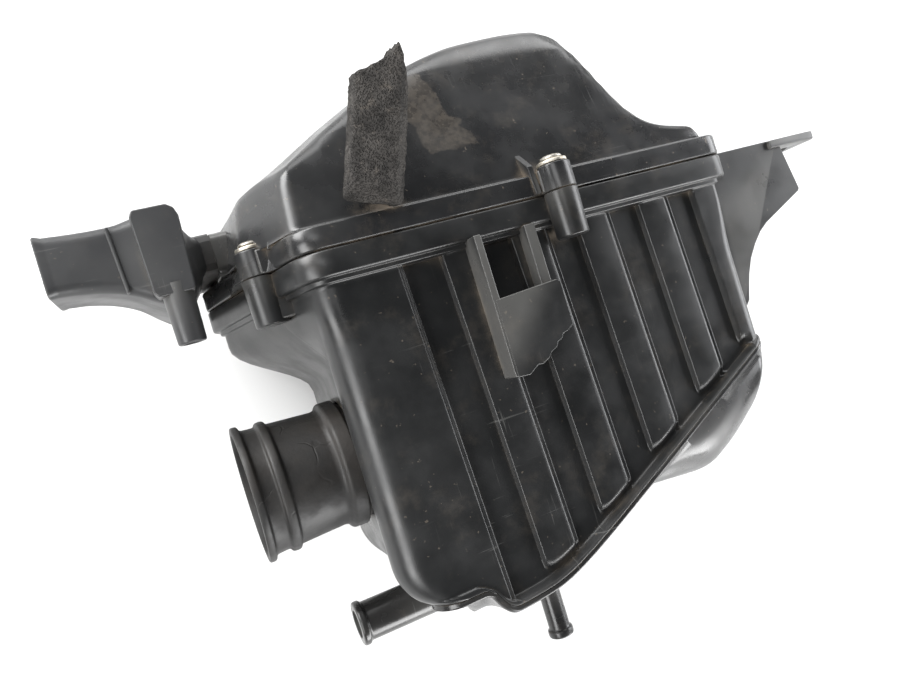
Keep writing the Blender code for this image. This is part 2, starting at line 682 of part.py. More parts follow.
def build_duct(mat):
    prof = ((DUCT_BORE + 2.2, -109.0), (DUCT_BORE + 5.0, -109.0), (DUCT_BORE + 5.2, -107.8),
            (DUCT_BORE + 5.0, -106.4), (DUCT_BORE + 3.0, -105.9), (DUCT_BORE + 2.9, -100.4),
            (DUCT_BORE + 4.1, -99.8), (DUCT_BORE + 4.3, -98.4), (DUCT_BORE + 4.1, -97.0),
            (DUCT_BORE + 2.7, -96.3), (DUCT_BORE + 1.5, -77.5), (DUCT_BORE + 4.0, -76.2),
            (DUCT_BORE + 4.0, -70.5), (DUCT_BORE + 1.5, -70.5), (DUCT_BORE + 1.5, -67.3),
            (DUCT_BORE + 3.8, -67.3), (DUCT_BORE + 3.2, -64.4), (DUCT_BORE - 1.2, -64.4),
            (DUCT_BORE - 1.2, -84.0), (DUCT_BORE + 0.3, -98.0))
    duct = lathe("outlet_duct", [(r, a) for r, a in prof], (0, DUCT_Y, DUCT_Z), (1, 0, 0), mat, 24)
    finish(duct)
    return duct


def ring_from_outline(name, profile, mat):
    """Closed ring following the flange outline; profile is (inset, y)."""
    loops = [(ring(FLANGE_CORNERS, LID_X, d), y) for d, y in profile]
    cols = [[(loop[i][0], y, loop[i][1]) for loop, y in loops] for i in range(len(loops[0][0]))]
    ob = loft(name, cols, mat)
    finish(ob)
    return ob


def build_element(frame_mat, paper_mat, seal_mat):
    foot = LEDGE_Y + GAP
    frame = ring_from_outline("element_frame", ((9.8, foot), (9.8, -5.3), (12.2, -5.3),
                                                (12.2, 1.5), (FRAME_IN, 1.5), (FRAME_IN, foot)),
                              frame_mat)
    seal = ring_from_outline("element_seal", ((9.6, -4.9), (9.6, -0.4), (11.8, -0.4),
                                              (11.8, -4.9)), seal_mat)
    # pleated media: a zig-zag sheet with real thickness, pleats run front to back
    x0, x1, pitch = -92.0, 90.0, 7.0
    low, high, skin = -12.0, 3.5, 1.3
    count = int(round((x1 - x0) / pitch))
    top, bottom = [], []
    for k in range(count):
        x = x0 + k * pitch
        top.extend(((x, low + skin), (x + pitch * 0.5, high)))
        bottom.extend(((x, low), (x + pitch * 0.5, high - skin)))
    top.append((x1, low + skin))
    bottom.append((x1, low))
    media = prism("element_media", top + bottom[::-1], 10.0, 115.0, paper_mat)
    fence = ring(FLANGE_CORNERS, LID_X, FRAME_IN + GAP)
    combine(media, prism("t", fence, low - 1.0, high + 1.0, paper_mat, 'Y'), 'INTERSECT')
    finish(media)
    return frame, media, seal


def build_foam(mat):
    """Five-sided bar stuck to the sloping front of the cover."""
    lean = math.radians(13.0)
    turn = math.radians(-17.0)
    section = ((-9.5, 0.0), (9.0, 0.0), (9.2, 7.0), (2.0, 13.5), (-9.5, 11.0))
    rot = Matrix.Rotation(turn, 3, 'Z') @ Matrix.Rotation(0.0, 3, 'X')
    tilt = Matrix.Rotation(lean, 3, 'X')
    base = Vector((-49.0, 11.5, 116.6))
    cols = []
    for u, w in section:
        col = []
        for s in (0.0, 11.0, 22.0, 33.0, 42.5):
            p = tilt @ (rot @ Vector((u, s, w)))
            col.append(base + p)
        cols.append(col)
    foam = loft("foam_pad", cols, mat, closed=False)
    finish(foam)
    return foam


def build_screws(steel, zinc):
    for n, (bx, bz) in enumerate(boss_points(), 1):
        seat = BOSS_HIGH + GAP
        washer = lathe("screw_washer_%d" % n, ((SCREW_BORE, 0.0), (WASHER_R, 0.0),
                       (WASHER_R, WASHER_H), (SCREW_BORE, WASHER_H)),
                       (bx, seat, bz), (0, 1, 0), zinc, 16)
        finish(washer)
        head = seat + WASHER_H + GAP
        screw = lathe("cover_screw_%d" % n, ((0.0, -14.0), (SCREW_R - 0.6, -14.0),
                      (SCREW_R, -13.2), (SCREW_R, head), (HEAD_R, head), (HEAD_R, head + 2.0),
                      (HEAD_R - 1.0, head + HEAD_H), (0.0, head + HEAD_H)),
                      (bx, 0, bz), (0, 1, 0), steel, 14, False)
        finish(screw)
        pivot(screw, (bx, head, bz))
        pivot(washer, (bx, seat, bz))


def stand_on_origin():
    """Move every object so the origin is the middle of the base of the whole housing."""
    bpy.context.view_layer.update()
    corners = [ob.matrix_world @ Vector(c) for ob in bpy.data.objects for c in ob.bound_box]
    low = Vector([min(c[k] for c in corners) for k in range(3)])
    high = Vector([max(c[k] for c in corners) for k in range(3)])
    shift = Vector(((low.x + high.x) / 2.0, (low.y + high.y) / 2.0, low.z))
    for ob in bpy.data.objects:
        ob.location = ob.location - shift


def main():
    reset_scene()
    black = material("moulded_plastic", (0.018, 0.019, 0.021), 0.42)
    cap_mat = material("cap_plastic", (0.020, 0.021, 0.022), 0.45)
    case_mat = material("case_plastic", (0.020, 0.022, 0.024), 0.40)
    snork = material("snorkel_plastic", (0.016, 0.017, 0.018), 0.5)
    duct_mat = material("duct_rubber", (0.028, 0.022, 0.018), 0.62)
    seal_mat = material("seal_rubber", (0.02, 0.02, 0.02), 0.7)
    lip_mat = material("element_lip", (0.03, 0.03, 0.03), 0.7)
    frame_mat = material("element_frame", (0.05, 0.05, 0.05), 0.5)
    paper = material("filter_paper", (0.62, 0.52, 0.30), 0.9)
    foam_mat = material("open_cell_foam", (0.045, 0.040, 0.038), 0.95)
    steel = material("screw_steel", (0.45, 0.44, 0.42), 0.35, 1.0)
    zinc = material("washer_zinc", (0.60, 0.57, 0.50), 0.5, 1.0)

    build_case(case_mat)
    build_cap(cap_mat)
    build_cover(black)
    ring_from_outline("cover_seal", ((5.5, -2.5), (5.5, -0.3), (7.3, -0.3), (7.3, -2.5)), seal_mat)
    build_element(frame_mat, paper, lip_mat)
    build_snorkel(snork)
    build_snorkel_seal(seal_mat)
    build_duct(duct_mat)
    build_foam(foam_mat)
    build_screws(steel, zinc)
    stand_on_origin()


main()
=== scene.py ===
"""Motorcycle air filter housing: fine moulded pieces, materials, light and camera.

All shapes are worked out in millimetres with the parting plane between cover and case at
y = 0, +Z out of the ribbed face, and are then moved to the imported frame.
"""

import math

import bmesh
import bpy
import numpy as np
from mathutils import Matrix, Vector, noise


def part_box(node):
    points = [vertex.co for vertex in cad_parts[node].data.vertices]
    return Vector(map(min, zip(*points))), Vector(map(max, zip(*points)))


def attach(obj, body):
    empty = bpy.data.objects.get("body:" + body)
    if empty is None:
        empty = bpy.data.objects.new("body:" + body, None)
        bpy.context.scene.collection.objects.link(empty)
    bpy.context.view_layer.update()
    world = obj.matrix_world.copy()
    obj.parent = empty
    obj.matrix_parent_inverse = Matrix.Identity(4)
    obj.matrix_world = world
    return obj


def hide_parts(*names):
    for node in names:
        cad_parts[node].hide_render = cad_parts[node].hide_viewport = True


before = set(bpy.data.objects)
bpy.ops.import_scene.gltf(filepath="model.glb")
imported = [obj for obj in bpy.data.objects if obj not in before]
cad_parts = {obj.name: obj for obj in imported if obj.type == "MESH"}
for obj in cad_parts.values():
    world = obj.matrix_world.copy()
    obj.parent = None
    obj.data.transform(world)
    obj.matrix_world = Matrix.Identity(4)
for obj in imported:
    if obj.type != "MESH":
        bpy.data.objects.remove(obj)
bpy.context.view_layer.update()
MM = 0.001

# ---- where the design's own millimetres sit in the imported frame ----
TAB_END_X = 174.5
SEAM = 0.15
SHIFT = Vector((TAB_END_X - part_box("lower_case")[1].x / MM,
                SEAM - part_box("upper_cover")[0].y / MM, 0.0))

# ---- driving dimensions (mm) ----
FRONT_Z, BACK_Z = 120.0, 6.6
FLANGE_TOP, FLANGE_OUT = 8.0, 4.0
WALL, RIB_DEPTH, RIB_LEAN = 2.5, 2.6, 4.0
RIB_LINES = (-39.8, -25.4, -10.7, 1.6, 17.1, 29.3, 44.4, 57.5, 71.7, 83.4)
WELD_KNEE_X, WELD_LOW_Y, WELD_SLOPE = -22.0, -132.0, 0.50
BULGE_FROM, BULGE_TO = 12.0, 54.0
SHELF_TOP, SHELF_END = 14.0, 40.0
BOSS_R, FRONT_BOSS_EXTRA, BOSS_LOW, BOSS_HIGH = 5.2, 1.1, 17.0, 9.5
GAP = 0.3
HEAD_R, HEAD_H = 4.3, 1.8
WASHER_R, WASHER_H, BORE_R = 5.2, 1.2, 2.65
FRONT_WASHER_EXTRA = 0.3
SHANK_R, SHANK_END = 2.3, -14.0
RECESS_HALF_WIDTH, RECESS_FLOOR, RECESS_TURN = 0.42, 0.7, 23.0
DUCT_Y, DUCT_Z, DUCT_BORE, DUCT_HOLE_R = -71.5, 66.0, 20.5, 22.3
DUCT_SHIFT_X, DUCT_DROP = -0.9, 1.0
TAB_HOLE, TAB_HOLE_R = (162.0, 0.0, 84.0), 3.4
SPIGOT_AT, NIPPLE_AT = (-63.0, -134.6, 58.0), (-15.8, 0.0, 86.0)
FOAM_LENGTH, FOAM_TILT, FOAM_TURN = 44.5, 13.0, -17.0
FOAM_BASE, FOAM_SEED = (-49.0, 11.5, 116.6), 11
SPINE_Z, CAP_SPINE, COVER_SPINE = 60.0, (-36.0, 50.0), (-48.0, 42.0)
BOSSES = ((-87.0, 92.2), (19.0, 121.4), (99.8, 78.0), (62.0, 5.2), (-20.0, 5.2), (-84.0, 5.2))
FLANGE_CORNERS = ((-76.5, FRONT_Z, 13.0), (-87.1, 88.0, 20.0), (-104.0, 32.0, 16.0),
                  (-92.0, BACK_Z, 12.0), (90.0, BACK_Z, 16.0), (99.0, 60.0, 30.0),
                  (96.0, FRONT_Z, 7.0))
WIDE_CORNERS = FLANGE_CORNERS[:-1] + ((97.8, FRONT_Z, 8.5),)
FOOT_CORNERS = ((-79.0, FRONT_Z, 10.0),) + FLANGE_CORNERS[1:]
BODY_CORNERS = ((-80.0, 116.0, 10.0), (-70.2, 91.5, 4.0), (-70.0, 26.0, 12.0),
                (-60.0, 1.2, 12.0), (84.0, 1.2, 16.0), (94.0, 60.0, 30.0), (91.6, 116.0, 6.0))
INNER_CORNERS = ((-76.5, 110.9, 7.5), (-67.6, 90.0, 2.0), (-67.4, 26.0, 10.0),
                 (-58.4, 3.8, 9.5), (82.0, 3.8, 13.5), (91.4, 60.0, 27.5), (89.2, 110.9, 3.5))
ROOF = ((-104.0, 20.5), (-97.0, 25.0), (-88.0, 28.4), (-75.0, 34.4), (-52.0, 47.4),
        (-28.0, 59.2), (-8.0, 66.2), (8.0, 69.2), (40.8, 69.8), (48.6, 65.0), (53.6, 57.0),
        (60.0, 41.5), (67.4, 26.0), (73.4, 19.2), (87.0, 14.6), (100.0, 11.6))


# ---- small maths ----
def smooth(a, b, x):
    """Smooth step from 0 at a to 1 at b."""
    t = min(1.0, max(0.0, (x - a) / (b - a)))
    return t * t * (3.0 - 2.0 * t)


def spline(points, x):
    """Smooth curve through (x, y) points, held level beyond the ends."""
    if x <= points[0][0]:
        return points[0][1]
    if x >= points[-1][0]:
        return points[-1][1]
    k = 0
    while points[k + 1][0] < x:
        k += 1
    (x1, y1), (x2, y2) = points[k], points[k + 1]
    x0, y0 = points[max(k - 1, 0)]
    x3, y3 = points[min(k + 2, len(points) - 1)]
    m1 = (y2 - y0) / (x2 - x0)
    m2 = (y3 - y1) / (x3 - x1)
    h = x2 - x1
    t = (x - x1) / h
    return ((2 * t ** 3 - 3 * t ** 2 + 1) * y1 + (t ** 3 - 2 * t ** 2 + t) * h * m1
            + (3 * t ** 2 - 2 * t ** 3) * y2 + (t ** 3 - t ** 2) * h * m2)


def soft_min(a, b, r):
    """The smaller of two values, blended over a width r."""
    h = max(0.0, min(1.0, 0.5 + 0.5 * (b - a) / r))
    return b + (a - b) * h - r * h * (1.0 - h)


def mix(a, b, w):
    return a + (b - a) * w


# ---- mesh helpers ----
def add(name, data):
    """New object in the scene."""
    ob = bpy.data.objects.new(name, data)
    bpy.context.collection.objects.link(ob)
    return ob


def to_object(name, verts, faces, mat, body, nodes=(), slot=None, sharp=40.0):
    """Mesh object from millimetre points, closed faces outward, riding on a CAD body."""
    me = bpy.data.meshes.new(name)
    me.from_pydata([(Vector(v) - SHIFT) * MM for v in verts], [], faces)
    bm = bmesh.new()
    bm.from_mesh(me)
    bmesh.ops.remove_doubles(bm, verts=bm.verts, dist=0.000002)
    bmesh.ops.recalc_face_normals(bm, faces=bm.faces)
    if bm.calc_volume(signed=True) < 0.0:
        bmesh.ops.reverse_faces(bm, faces=bm.faces)
    bm.to_mesh(me)
    bm.free()
    me.materials.append(mat)
    me.shade_smooth()
    me.set_sharp_from_angle(angle=math.radians(sharp))
    ob = add(name, me)
    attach(ob, body)
    if nodes:
        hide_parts(*nodes)
    return ob


def ring_faces(count, rows, wrap=True):
    """Quads of a grid whose columns run round a ring; wrap also closes each column."""
    faces = []
    for i in range(count):
        j = (i + 1) % count
        for k in range(rows if wrap else rows - 1):
            m = (k + 1) % rows
            faces.append((i * rows + k, j * rows + k, j * rows + m, i * rows + m))
    return faces


def zip_strip(points):
    """Triangles filling a long thin ring, paired up along x."""
    n = len(points)
    left = min(range(n), key=lambda i: points[i][0])
    right = max(range(n), key=lambda i: points[i][0])
    one, two = [left], [left]
    while one[-1] != right:
        one.append((one[-1] + 1) % n)
    while two[-1] != right:
        two.append((two[-1] - 1) % n)
    tris = []
    a = b = 0
    while a < len(one) - 1 or b < len(two) - 1:
        go_a = b == len(two) - 1
        if a < len(one) - 1 and b < len(two) - 1:
            go_a = points[one[a + 1]][0] < points[two[b + 1]][0]
        tri = (one[a], one[a + 1], two[b]) if go_a else (one[a], two[b + 1], two[b])
        a, b = (a + 1, b) if go_a else (a, b + 1)
        if len(set(tri)) == 3:
            tris.append(tri)
    return tris


def turned(name, profile, centre, axis, mat, body, steps=64, closed=False, **kw):
    """Turned piece from (radius, along) points; closed joins the profile's ends."""
    rot = Vector((0.0, 0.0, 1.0)).rotation_difference(Vector(axis)).to_matrix()
    verts = []
    for i in range(steps):
        a = 2.0 * math.pi * i / steps
        for rad, along in profile:
            local = Vector((rad * math.cos(a), rad * math.sin(a), along))
            verts.append(Vector(centre) + rot @ local)
    return to_object(name, verts, ring_faces(steps, len(profile), closed), mat, body, **kw)


def rounded(profile, radii, steps=4):
    """Profile with its corners rounded; radii has one value for each point."""
    out = []
    n = len(profile)
    for i, p in enumerate(profile):
        r = radii[i] if isinstance(radii, (list, tuple)) else radii
        if r <= 0.0 or i in (0, n - 1):
            out.append(p)
            continue
        here = Vector(p)
        back = Vector(profile[i - 1]) - here
        ahead = Vector(profile[i + 1]) - here
        reach = min(r, 0.45 * back.length, 0.45 * ahead.length)
        a = here + back.normalized() * reach
        b = here + ahead.normalized() * reach
        for k in range(steps + 1):
            t = k / steps
            q = a * (1 - t) ** 2 + here * 2 * t * (1 - t) + b * t ** 2
            out.append((q.x, q.y))
    return out


def soften(ob, width, angle):
    """Bevel modifier on the edges sharper than an angle in degrees."""
    mod = ob.modifiers.new("edges", 'BEVEL')
    mod.width = width * MM
    mod.segments = 3
    mod.limit_method = 'ANGLE'
    mod.angle_limit = math.radians(angle)
    return mod


def slab(name, sides, lo, hi, mat, body, axis='Z', bevel=0.5, **kw):
    """Plate of a given outline with softened edges."""
    def place(a, b, c):
        return {'Z': (a, b, c), 'Y': (a, c, b), 'X': (c, a, b)}[axis]
    n = len(sides)
    verts = [place(a, b, lo) for a, b in sides] + [place(a, b, hi) for a, b in sides]
    faces = [tuple(range(n)), tuple(range(2 * n - 1, n - 1, -1))]
    for i in range(n):
        j = (i + 1) % n
        faces.append((i, j, n + j, n + i))
    ob = to_object(name, verts, faces, mat, body, **kw)
    soften(ob, bevel, 25).harden_normals = True
    return ob


def block(name, lo, hi, mat, body, bevel=0.5, **kw):
    """Box between two corner points, with softened edges."""
    sides = ((lo[0], lo[1]), (hi[0], lo[1]), (hi[0], hi[1]), (lo[0], hi[1]))
    return slab(name, sides, lo[2], hi[2], mat, body, bevel=bevel, **kw)


def apply_all(ob):
    """Apply every modifier of an object."""
    graph = bpy.context.evaluated_depsgraph_get()
    done = bpy.data.meshes.new_from_object(ob.evaluated_get(graph))
    ob.modifiers.clear()
    ob.data = done


def cut(ob, tool):
    """Take a tool's volume out of an object, and remove the tool."""
    mod = ob.modifiers.new("cut", 'BOOLEAN')
    mod.operation = 'DIFFERENCE'
    mod.solver = 'EXACT'
    mod.object = tool
    apply_all(ob)
    bpy.data.objects.remove(tool, do_unlink=True)


def cut_round(ob, radius, centre, axis, half):
    """Bore a round hole through an object's wall."""
    profile = ((0.0, -half), (radius, -half), (radius, half), (0.0, half))
    cut(ob, turned("bore_tool", profile, centre, axis, ob.data.materials[0], "case", steps=72))


def boss_radius(n):
    """The two bosses beside the ribbed face are wider than the other four."""
    return BOSS_R + (FRONT_BOSS_EXTRA if n < 3 else 0.0)


# ---- outlines ----
def corner_frames(corners):
    """Each corner's place, directions to its neighbours, half angle and radius."""
    frames = []
    count = len(corners)
    for i, (x, z, rad) in enumerate(corners):
        here = Vector((x, z))
        back = (Vector(corners[i - 1][:2]) - here).normalized()
        ahead = (Vector(corners[(i + 1) % count][:2]) - here).normalized()
        frames.append((here, back, ahead, back.angle(ahead) / 2.0, rad))
    return frames


def front_span(corners):
    """x of the right and left end of the straight front edge."""
    spans = []
    for i in (len(corners) - 1, 0):
        here, _, _, half, rad = corner_frames(corners)[i]
        reach = rad / math.tan(half)
        spans.append(here.x - reach if i else here.x + reach)
    return spans


def outline(corners, stations, d=0.0, arc=9, side=12, back_steps=24):
    """Rounded outline moved inward by d; the point count is the same for every d.

    stations are x values on the unmoved front edge, listed right to left.
    """
    moved = [(*(here + (back + ahead).normalized() * (d / math.sin(half))), rad)
             for here, back, ahead, half, rad in corner_frames(corners)]
    base = front_span(corners)
    arcs = []
    for here, back, ahead, half, rad in corner_frames(moved):
        rad = max(1.5, rad - d)
        centre = here + (back + ahead).normalized() * (rad / math.sin(half))
        start = (here + back * (rad / math.tan(half)) - centre).normalized()
        end = (here + ahead * (rad / math.tan(half)) - centre).normalized()
        arcs.append([centre + start.slerp(end, k / (arc - 1)) * rad for k in range(arc)])
    pts = []
    for i in range(len(moved)):
        pts.extend(arcs[i])
        a, b = arcs[i][-1], arcs[(i + 1) % len(moved)][0]
        if i == len(moved) - 1:
            pts.extend(a.lerp(b, (base[0] - x) / (base[0] - base[1])) for x in stations)
        else:
            steps = back_steps if i == 3 else side
            pts.extend(a.lerp(b, k / (steps + 1.0)) for k in range(1, steps + 1))
    return [(p.x, p.y) for p in pts]


def lean(x, y):
    """How far the ribs lean to the left at height y."""
    return RIB_LEAN * max(0.0, 1.0 - (-y - 10.0) / 118.0) * smooth(-62.0, -52.0, x)


def rib_stations():
    """x values across the front edge, close together at the sides of the ribs."""
    near = (0.0, 0.2, 0.4, 0.6, 0.9, 1.25, 1.6, 1.95, 2.3)
    xs = set()
    for line in RIB_LINES:
        for off in near:
            xs.update((round(line - off, 3), round(line + off, 3)))
    x = -64.6
    while x < 84.9:
        if min(abs(x - line) for line in RIB_LINES) > 2.5:
            xs.add(round(x, 3))
        x += 1.15
    return sorted(xs, reverse=True)


RIB_X = rib_stations()
RIB_TOP_X = [x - lean(x, -10.0) for x in RIB_X]
COUNT = len(outline(BODY_CORNERS, RIB_X))
SIDE = COUNT - len(RIB_X)


def weld_y(x, d=0.0):
    """Height of the weld line between case and cap.

    Its step at the lower left turns into a slope from 2 to 22 mm in from the rim (d).
    """
    climb = max(0.0, x - WELD_KNEE_X)
    bend = 2.6 * math.exp(-abs(x - WELD_KNEE_X) / 11.0)
    step = 9.3 * smooth(40.0, 56.0, -x)
    slope = 6.0 * smooth(20.0, 80.0, -x)
    return WELD_LOW_Y + climb * WELD_SLOPE + bend + step + (slope - step) * smooth(2.0, 22.0, d)


def tuck(x, y, z):
    """Shift to the right that rounds the lower left corner, more so behind the front face."""
    radius = 18.0
    drop = min(17.2, max(0.0, -107.0 - y))
    round_off = radius - math.sqrt(radius ** 2 - drop ** 2)
    behind = 3.6 * smooth(-80.0, -122.0, y) * smooth(108.0, 74.0, z)
    return (round_off + behind) * smooth(-40.0, -70.0, x)


def rib_relief(x, y, low):
    """How far the front face is set back at (x, y), in mm.

    Each raised band has a soft left step, a crisp right step and a lower end that slopes
    down to the weld bead.
    """
    keep = 1.0 - smooth(RIB_LINES[0] - 0.5, RIB_LINES[0] + 0.5, x)
    for k in range(1, len(RIB_LINES), 2):
        a = RIB_LINES[k]
        b = RIB_LINES[k + 1] if k + 1 < len(RIB_LINES) else 200.0
        if a - 2.0 < x < b + 1.0:
            side = smooth(a - 0.45, a + 0.45, x) * (1.0 - smooth(b - 0.5, b + 0.5, x))
            start = low + 1.5 + 2.6 * math.exp(-max(0.0, x - a) / 2.0)
            end = smooth(start, start + 5.5, y)
            crown = 0.85 + 0.15 * math.sin(math.pi * min(1.0, max(0.0, (x - a) / (b - a))))
            keep = max(keep, side * end * (crown if b < 200.0 else 1.0))
    groove = math.exp(-((x - RIB_LINES[0] + 1.5) / 0.35) ** 2) * 0.35
    for line in RIB_LINES[2::2]:
        groove += math.exp(-((x - line + 1.6) / 0.35) ** 2) * 0.35
    return RIB_DEPTH * (1.0 - keep) + groove


# ---- materials ----
class Shader:
    """Small helper that wires the nodes of one material."""

    def __init__(self, name, rough, metal=0.0):
        self.mat = bpy.data.materials.new(name)
        self.mat.use_nodes = True
        self.tree = self.mat.node_tree
        self.bsdf = self.tree.nodes["Principled BSDF"]
        self.bsdf.inputs["Roughness"].default_value = rough
        self.bsdf.inputs["Metallic"].default_value = metal
        self.coords = self.node("ShaderNodeTexCoord").outputs["Object"]

    def node(self, kind, inputs=(), **settings):
        """New node; inputs are pairs of a socket's name and a value or a socket."""
        n = self.tree.nodes.new(kind)
        for key, value in settings.items():
            setattr(n, key, value)
        for key, value in inputs:
            if isinstance(value, bpy.types.NodeSocket):
                self.link(value, n.inputs[key])
            else:
                n.inputs[key].default_value = value
        return n

    def link(self, a, b):
        self.tree.links.new(a, b)

    def noise(self, scale, detail=4.0, rough=0.55, stretch=(1.0, 1.0, 1.0),
              turn=(0.0, 0.0, 0.0)):
        mapping = self.node("ShaderNodeMapping", (("Vector", self.coords), ("Scale", stretch),
                                                  ("Rotation", turn)))
        n = self.node("ShaderNodeTexNoise", (("Vector", mapping.outputs["Vector"]),
                                             ("Scale", scale), ("Detail", detail),
                                             ("Roughness", rough)))
        return n.outputs["Fac"]

    def ramp(self, value, low, high, out_low=0.0, out_high=1.0):
        n = self.node("ShaderNodeMapRange",
                      (("Value", value), ("From Min", low), ("From Max", high),
                       ("To Min", out_low), ("To Max", out_high)),
                      interpolation_type='SMOOTHSTEP')
        return n.outputs["Result"]

    def maths(self, op, a, b):
        return self.node("ShaderNodeMath", ((0, a), (1, b)), operation=op).outputs[0]

    def blend(self, factor, a, b):
        """Colour mix; a and b are colours or sockets."""
        n = self.node("ShaderNodeMix", (("Factor", factor),), data_type='RGBA')
        for key, v in (("A", a), ("B", b)):
            socket = [s for s in n.inputs if s.name == key and s.type == 'RGBA'][0]
            if isinstance(v, tuple):
                socket.default_value = (*v, 1.0)
            else:
                self.link(v, socket)
        return [s for s in n.outputs if s.type == 'RGBA'][0]

    def bump(self, height, strength, distance=0.0005, chain=None):
        n = self.node("ShaderNodeBump", (("Strength", strength), ("Distance", distance),
                                         ("Height", height)))
        if chain is not None:
            self.link(chain, n.inputs["Normal"])
        return n.outputs["Normal"]

    def crevice(self, distance):
        n = self.node("ShaderNodeAmbientOcclusion", (("Distance", distance),), samples=6)
        return self.maths('SUBTRACT', 1.0, n.outputs["AO"])

    def edge(self, low, high):
        geo = self.node("ShaderNodeNewGeometry")
        return self.ramp(geo.outputs["Pointiness"], low, high)

    def finish(self, colour, rough=None, normal=None):
        self.link(colour, self.bsdf.inputs["Base Color"])
        if rough is not None:
            self.link(rough, self.bsdf.inputs["Roughness"])
        if normal is not None:
            self.link(normal, self.bsdf.inputs["Normal"])
        return self.mat


DUST = (0.235, 0.190, 0.140)
SCRATCH, WORN_EDGE_AND_HIGHLIGHT = (0.085, 0.085, 0.082), (0.12, 0.118, 0.112)


def plastic(name, dark, light, rough=0.40, dust=0.35, patch=None):
    """Aged black moulded plastic: blotches, scratches, worn edges that are also lightened as a
    painted highlight, dust in the corners.
    """
    s = Shader(name, rough)
    colour = s.blend(s.ramp(s.noise(22.0, 5.0), 0.35, 0.68), dark, light)
    fine = s.noise(2600.0, 2.0)
    scratch_a = s.ramp(s.noise(34.0, 3.0, 0.6, (1.0, 26.0, 1.0), (0.2, 0.1, 0.7)), 0.66, 0.71)
    scratch_b = s.ramp(s.noise(30.0, 3.0, 0.6, (30.0, 1.0, 1.0), (0.1, 0.3, 0.5)), 0.67, 0.72)
    zone = s.ramp(s.noise(16.0, 2.0), 0.48, 0.66)
    scratches = s.maths('MULTIPLY', s.maths('MAXIMUM', scratch_a, scratch_b), zone)
    colour = s.blend(s.maths('MULTIPLY', scratches, 0.5), colour, SCRATCH)
    # Sharp edges are lightened by pointiness: partly wear, partly a painted highlight along the
    # edges.
    colour = s.blend(s.maths('MULTIPLY', s.edge(0.535, 0.60), 0.45), colour, WORN_EDGE_AND_HIGHLIGHT)
    dirt = s.ramp(s.crevice(0.0055), 0.30, 0.85)
    patchy = s.ramp(s.noise(70.0, 6.0, 0.65), 0.40, 0.62)
    film = s.maths('MULTIPLY', s.maths('MULTIPLY', dirt, patchy), dust)
    specks = s.maths('MULTIPLY', s.ramp(s.noise(520.0, 2.0), 0.70, 0.76), 0.30 * dust)
    haze = s.maths('MULTIPLY', s.ramp(s.noise(75.0, 7.0, 0.72), 0.50, 0.76), 0.09 * dust)
    total = s.maths('MAXIMUM', film, s.maths('MAXIMUM', specks, haze))
    if patch:
        total = s.maths('MAXIMUM', total, patch(s))
    colour = s.blend(total, colour, DUST)
    rough_out = s.maths('ADD', s.ramp(s.noise(60.0, 5.0), 0.3, 0.7, rough - 0.07, rough + 0.09),
                        s.maths('MULTIPLY', total, 0.5))
    wide = s.bump(s.noise(55.0, 3.0), 0.10, 0.0006)
    normal = s.bump(fine, 0.10, 0.00006, wide)
    return s.finish(colour, rough_out, normal)


def residue(s):
    """Grey glue residue on the cover where the rest of the foam pad used to stick."""
    sep = s.node("ShaderNodeSeparateXYZ")
    s.link(s.coords, sep.inputs[0])
    wob = s.maths('MULTIPLY', s.maths('SUBTRACT', s.noise(110.0, 5.0), 0.5), 0.009)
    x = s.maths('ADD', sep.outputs[0], wob)
    y = s.maths('ADD', sep.outputs[1], wob)

    def side(px, py, nx, ny):
        """1 on the inner side of a line through (px, py) in design millimetres."""
        px, py = (px - SHIFT.x) * MM, (py - SHIFT.y) * MM
        along = s.maths('ADD', s.maths('MULTIPLY', s.maths('SUBTRACT', x, px), nx),
                        s.maths('MULTIPLY', s.maths('SUBTRACT', y, py), ny))
        return s.ramp(along, -0.0006, 0.0006)
    inside = side(-24.0, 40.0, 0.97, 0.25)
    for line in ((-9.0, 42.0, -0.93, -0.37), (-12.0, 24.5, 0.02, 1.0),
                 (-20.0, 55.0, 0.30, -0.95)):
        inside = s.maths('MULTIPLY', inside, side(*line))
    front = s.ramp(sep.outputs[2], 0.080, 0.090)
    grain = s.ramp(s.noise(420.0, 5.0, 0.7), 0.38, 0.62, 0.07, 0.15)
    return s.maths('MULTIPLY', s.maths('MULTIPLY', inside, front), grain)


def crack_lines(s):
    """Fine wandering cracks in some zones: 1 on a crack, 0 elsewhere."""
    tint = s.node("ShaderNodeTexNoise", (("Vector", s.coords), ("Scale", 45.0)))
    warp = s.node("ShaderNodeVectorMath", ((0, tint.outputs["Color"]), (1, (0.03, 0.03, 0.03)),
                                           (2, s.coords)), operation='MULTIPLY_ADD')
    cell = s.node("ShaderNodeTexVoronoi", (("Vector", warp.outputs[0]), ("Scale", 62.0)),
                  feature='DISTANCE_TO_EDGE')
    line = s.ramp(cell.outputs["Distance"], 0.0, 0.035, 1.0, 0.0)
    return s.maths('MULTIPLY', line, s.ramp(s.noise(35.0, 2.0), 0.50, 0.60))


def rubber(name, dark, light, dust=0.5, cracks=True):
    """Perished rubber with a brown dust film and, where asked for, fine cracks."""
    s = Shader(name, 0.62)
    colour = s.blend(s.ramp(s.noise(30.0, 6.0, 0.65), 0.38, 0.64), dark, light)
    film = s.maths('MULTIPLY', s.ramp(s.noise(24.0, 6.0, 0.6), 0.42, 0.70), dust)
    dirt = s.maths('MULTIPLY', s.ramp(s.crevice(0.005), 0.25, 0.8), dust)
    colour = s.blend(s.maths('MAXIMUM', film, dirt), colour, (0.16, 0.125, 0.095))
    height = s.noise(700.0, 4.0)
    if cracks:
        crack = crack_lines(s)
        colour = s.blend(s.maths('MULTIPLY', crack, 0.8), colour, (0.006, 0.005, 0.004))
        height = s.maths('SUBTRACT', height, s.maths('MULTIPLY', crack, 1.5))
    rough = s.ramp(s.noise(80.0, 4.0), 0.3, 0.7, 0.48, 0.74)
    return s.finish(colour, rough, s.bump(height, 0.35, 0.00025))


